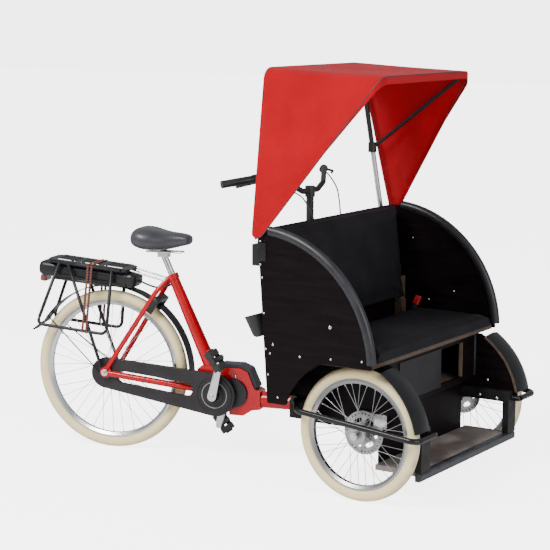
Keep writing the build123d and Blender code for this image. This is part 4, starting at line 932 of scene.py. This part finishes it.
crease = hood_place.noise(7.0, 5.0, (0.6, 1.0, 0.35))
emboss(hood_shader, weave * 0.02 + crease * 0.6, 0.014)


def hood_section():
    """Points round the hood's section, from its right tip over the roof to its left tip."""
    lean = atan2(HOOD_TOP_Z - HOOD_LOW_Z, HOOD_LOW_HALF - HOOD_TOP_HALF)
    cut = HOOD_BEND * tan(lean / 2)
    centre = Vector((HOOD_TOP_HALF - cut, HOOD_TOP_Z - HOOD_BEND))
    line = []
    side_steps, bend_steps, roof_steps = 46, 10, 30
    low = Vector((HOOD_LOW_HALF, HOOD_LOW_Z))
    start = centre + HOOD_BEND * Vector((sin(lean), cos(lean)))
    line += [low.lerp(start, n / side_steps) for n in range(side_steps)]
    angles = [lean * (1 - n / bend_steps) for n in range(bend_steps)]
    line += [centre + HOOD_BEND * Vector((sin(a), cos(a))) for a in angles]
    line += [Vector((centre.x * (1 - n / roof_steps), HOOD_TOP_Z)) for n in range(roof_steps + 1)]
    right = [Vector((-p.x, p.y)) for p in line]
    return right + line[-2::-1]


section = hood_section()
HOOD_COLUMNS = 44
slant_run = (HOOD_BROW[0] - HOOD_TIP[0]) / (HOOD_BROW[1] - HOOD_TIP[1])
points, coords, edge_points = [], [], []
run = 0.0
for count, spot in enumerate(section):
    if count:
        run += (spot - section[count - 1]).length
    level = spot.y + HOOD_FROM * HOOD_FALL
    rear_x = (HOOD_HEEL[0] - HEEL_LEAN * (level - HOOD_HEEL[1])) / (1 - HEEL_LEAN * HOOD_FALL)
    front_x = (HOOD_TIP[0] + slant_run * (level - HOOD_TIP[1])) / (1 + slant_run * HOOD_FALL)
    lift = min(1.0, max(0.0, (spot.y - HOOD_LOW_Z) / TIP_ROUND))
    trim = TIP_ROUND * (1 - sqrt(1 - (1 - lift) ** 2)) * 0.9
    rear_x, front_x = rear_x + trim, front_x - trim
    side_share = min(1.0, max(0.0, (HOOD_TOP_Z - 0.03 - spot.y) / 0.25))
    hand = 1 if spot.x > 0 else -1
    for column in range(HOOD_COLUMNS + 1):
        share = column / HOOD_COLUMNS
        x = rear_x + (front_x - rear_x) * share
        fold = sin(x * 46.0 + spot.y * 5.0) * 0.5 + sin(x * 27.0 - spot.y * 9.0 + 1.3)
        width = (front_x - rear_x) / 0.45
        inwards = side_share * sin(pi * share) * width * (WAIST_IN + FOLD_DEPTH * fold)
        sag = ROOF_SAG * sin(pi * share) ** 2 * max(0.0, 1 - (spot.x / 0.34) ** 2)
        z = level - x * HOOD_FALL - (1.0 - side_share) * sag
        points.append(Vector((x, spot.x - inwards * hand, z)))
        coords.append((run, x))
    edge_points.append(points[-1])
    for column in range(1, HEM_COLUMNS + 1):
        share = column / HEM_COLUMNS
        down = Vector((-HEM_TUCK.x * share * side_share, -HEM_TUCK.y * share * side_share * hand,
                       -HEM_TUCK.z * share * (1.0 - side_share)))
        points.append(edge_points[-1] + down)
        coords.append((run, x + HEM_DROP * share))
rows = HOOD_COLUMNS + HEM_COLUMNS + 1
faces = [(a * rows + b, (a + 1) * rows + b, (a + 1) * rows + b + 1, a * rows + b + 1)
         for a in range(len(section) - 1) for b in range(rows - 1)]
hood = new_piece("hood_sheet", points, faces)
cut_map = hood.data.uv_layers.new(name="cut")
for loop in hood.data.loops:
    cut_map.data[loop.index].uv = coords[loop.vertex_index]
thick = hood.modifiers.new("cloth", "SOLIDIFY")
thick.thickness = 0.0016
thick.offset = -1.0
hood.data.materials.append(hood_red)
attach(hood, "front_box")
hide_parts("hood_cloth")
piping_grey = worn_finish("piping_grey", (0.05, 0.035, 0.036), (0.024, 0.018, 0.018), (0.4, 0.55), 0.03,
                          0.001, 0.00006)
piping = edge_tube("hood_piping", edge_points, 0.0022, piping_grey, "front_box")

# Handlebar: a black bent tube on a black post behind the back wall, with grey rubber
# grips, black levers, thin brake cables and a grey cup holder.
dress(black_satin, "handlebar", "brake_levers")
dress(rubber_grey, "grips")
CUP_FOOT = (STEER_PIVOT - 0.31797, -0.43, 0.568)
CUP_RUN = (-0.027, 0.0, 0.082)
cup_wall = [(0.0005, 0.008), (0.018, 0.009), (0.025, 0.018), (0.031, 0.05), (0.037, 0.082), (0.0385, 0.086),
            (0.0405, 0.0865), (0.041, 0.084), (0.0395, 0.081), (0.034, 0.05), (0.029, 0.02), (0.025, 0.007),
            (0.016, 0.001), (0.0005, 0.0)]
cup = turned("cup", cup_wall, CUP_FOOT, CUP_RUN, 40, rubber_grey, "front_box")
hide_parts("cup_holder")
CUP_ARM = ((-0.29797, -0.2555), (0.414, 0.446), (0.595, 0.617))
beside(-1, "cup_arm", CUP_ARM, black_satin, 0.003)
cable_black = worn_finish("cable_black", (0.018, 0.018, 0.018), (0.012, 0.012, 0.012), (0.4, 0.5), 0.03,
                          0.001, 0.00006)


def hung_cord(name, route, thick, node, body):
    """A cord along its route, as one smooth curve, which goes back into the object at its far end."""
    curve = bpy.data.curves.new(name, "CURVE")
    curve.dimensions = "3D"
    spline = curve.splines.new("NURBS")
    spline.points.add(len(route) - 1)
    for point, place in zip(spline.points, route):
        point.co = (*place, 1.0)
    spline.order_u = 3
    spline.use_endpoint_u = True
    spline.resolution_u = 16
    piece = bpy.data.objects.new(name, curve)
    scene.collection.objects.link(piece)
    line = evaluated(piece).to_mesh()
    curve.bevel_depth = thick / 2
    curve.bevel_resolution = 3
    curve.use_fill_caps = True
    curve.materials.append(cable_black)
    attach(piece, body)
    if node:
        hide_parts(node)


# Forward of the steering pivot, out from the middle and height of each bend in a brake cable.
brake_route = [(-0.45538, 0.254556, 1.125511), (-0.342853, 0.14924, 1.098), (-0.300876, 0.1092, 1.02),
               (-0.285203, 0.091, 0.94), (-0.279622, 0.091, 0.82), (-0.267066, 0.091, 0.64)]
BRAKE_THICK = 0.006
LEAD_THICK = 0.008
for side, hand, node in ((-1, "right", "brake_cables"), (1, "left", None)):
    route = [(STEER_PIVOT + x, side * y, z) for x, y, z in brake_route]
    hung_cord("brake_cable_" + hand, route, BRAKE_THICK, node, "front_box")
plug_route = [(0.11619, 0.0, 0.69818), (0.1716, 0.0, 0.67307), (0.22701, 0.0, 0.67196),
              (0.26492, 0.0, 0.68984)]
hung_cord("battery_lead", [rear_place @ Vector(p) for p in plug_route], LEAD_THICK, "battery_cable",
          "frame")
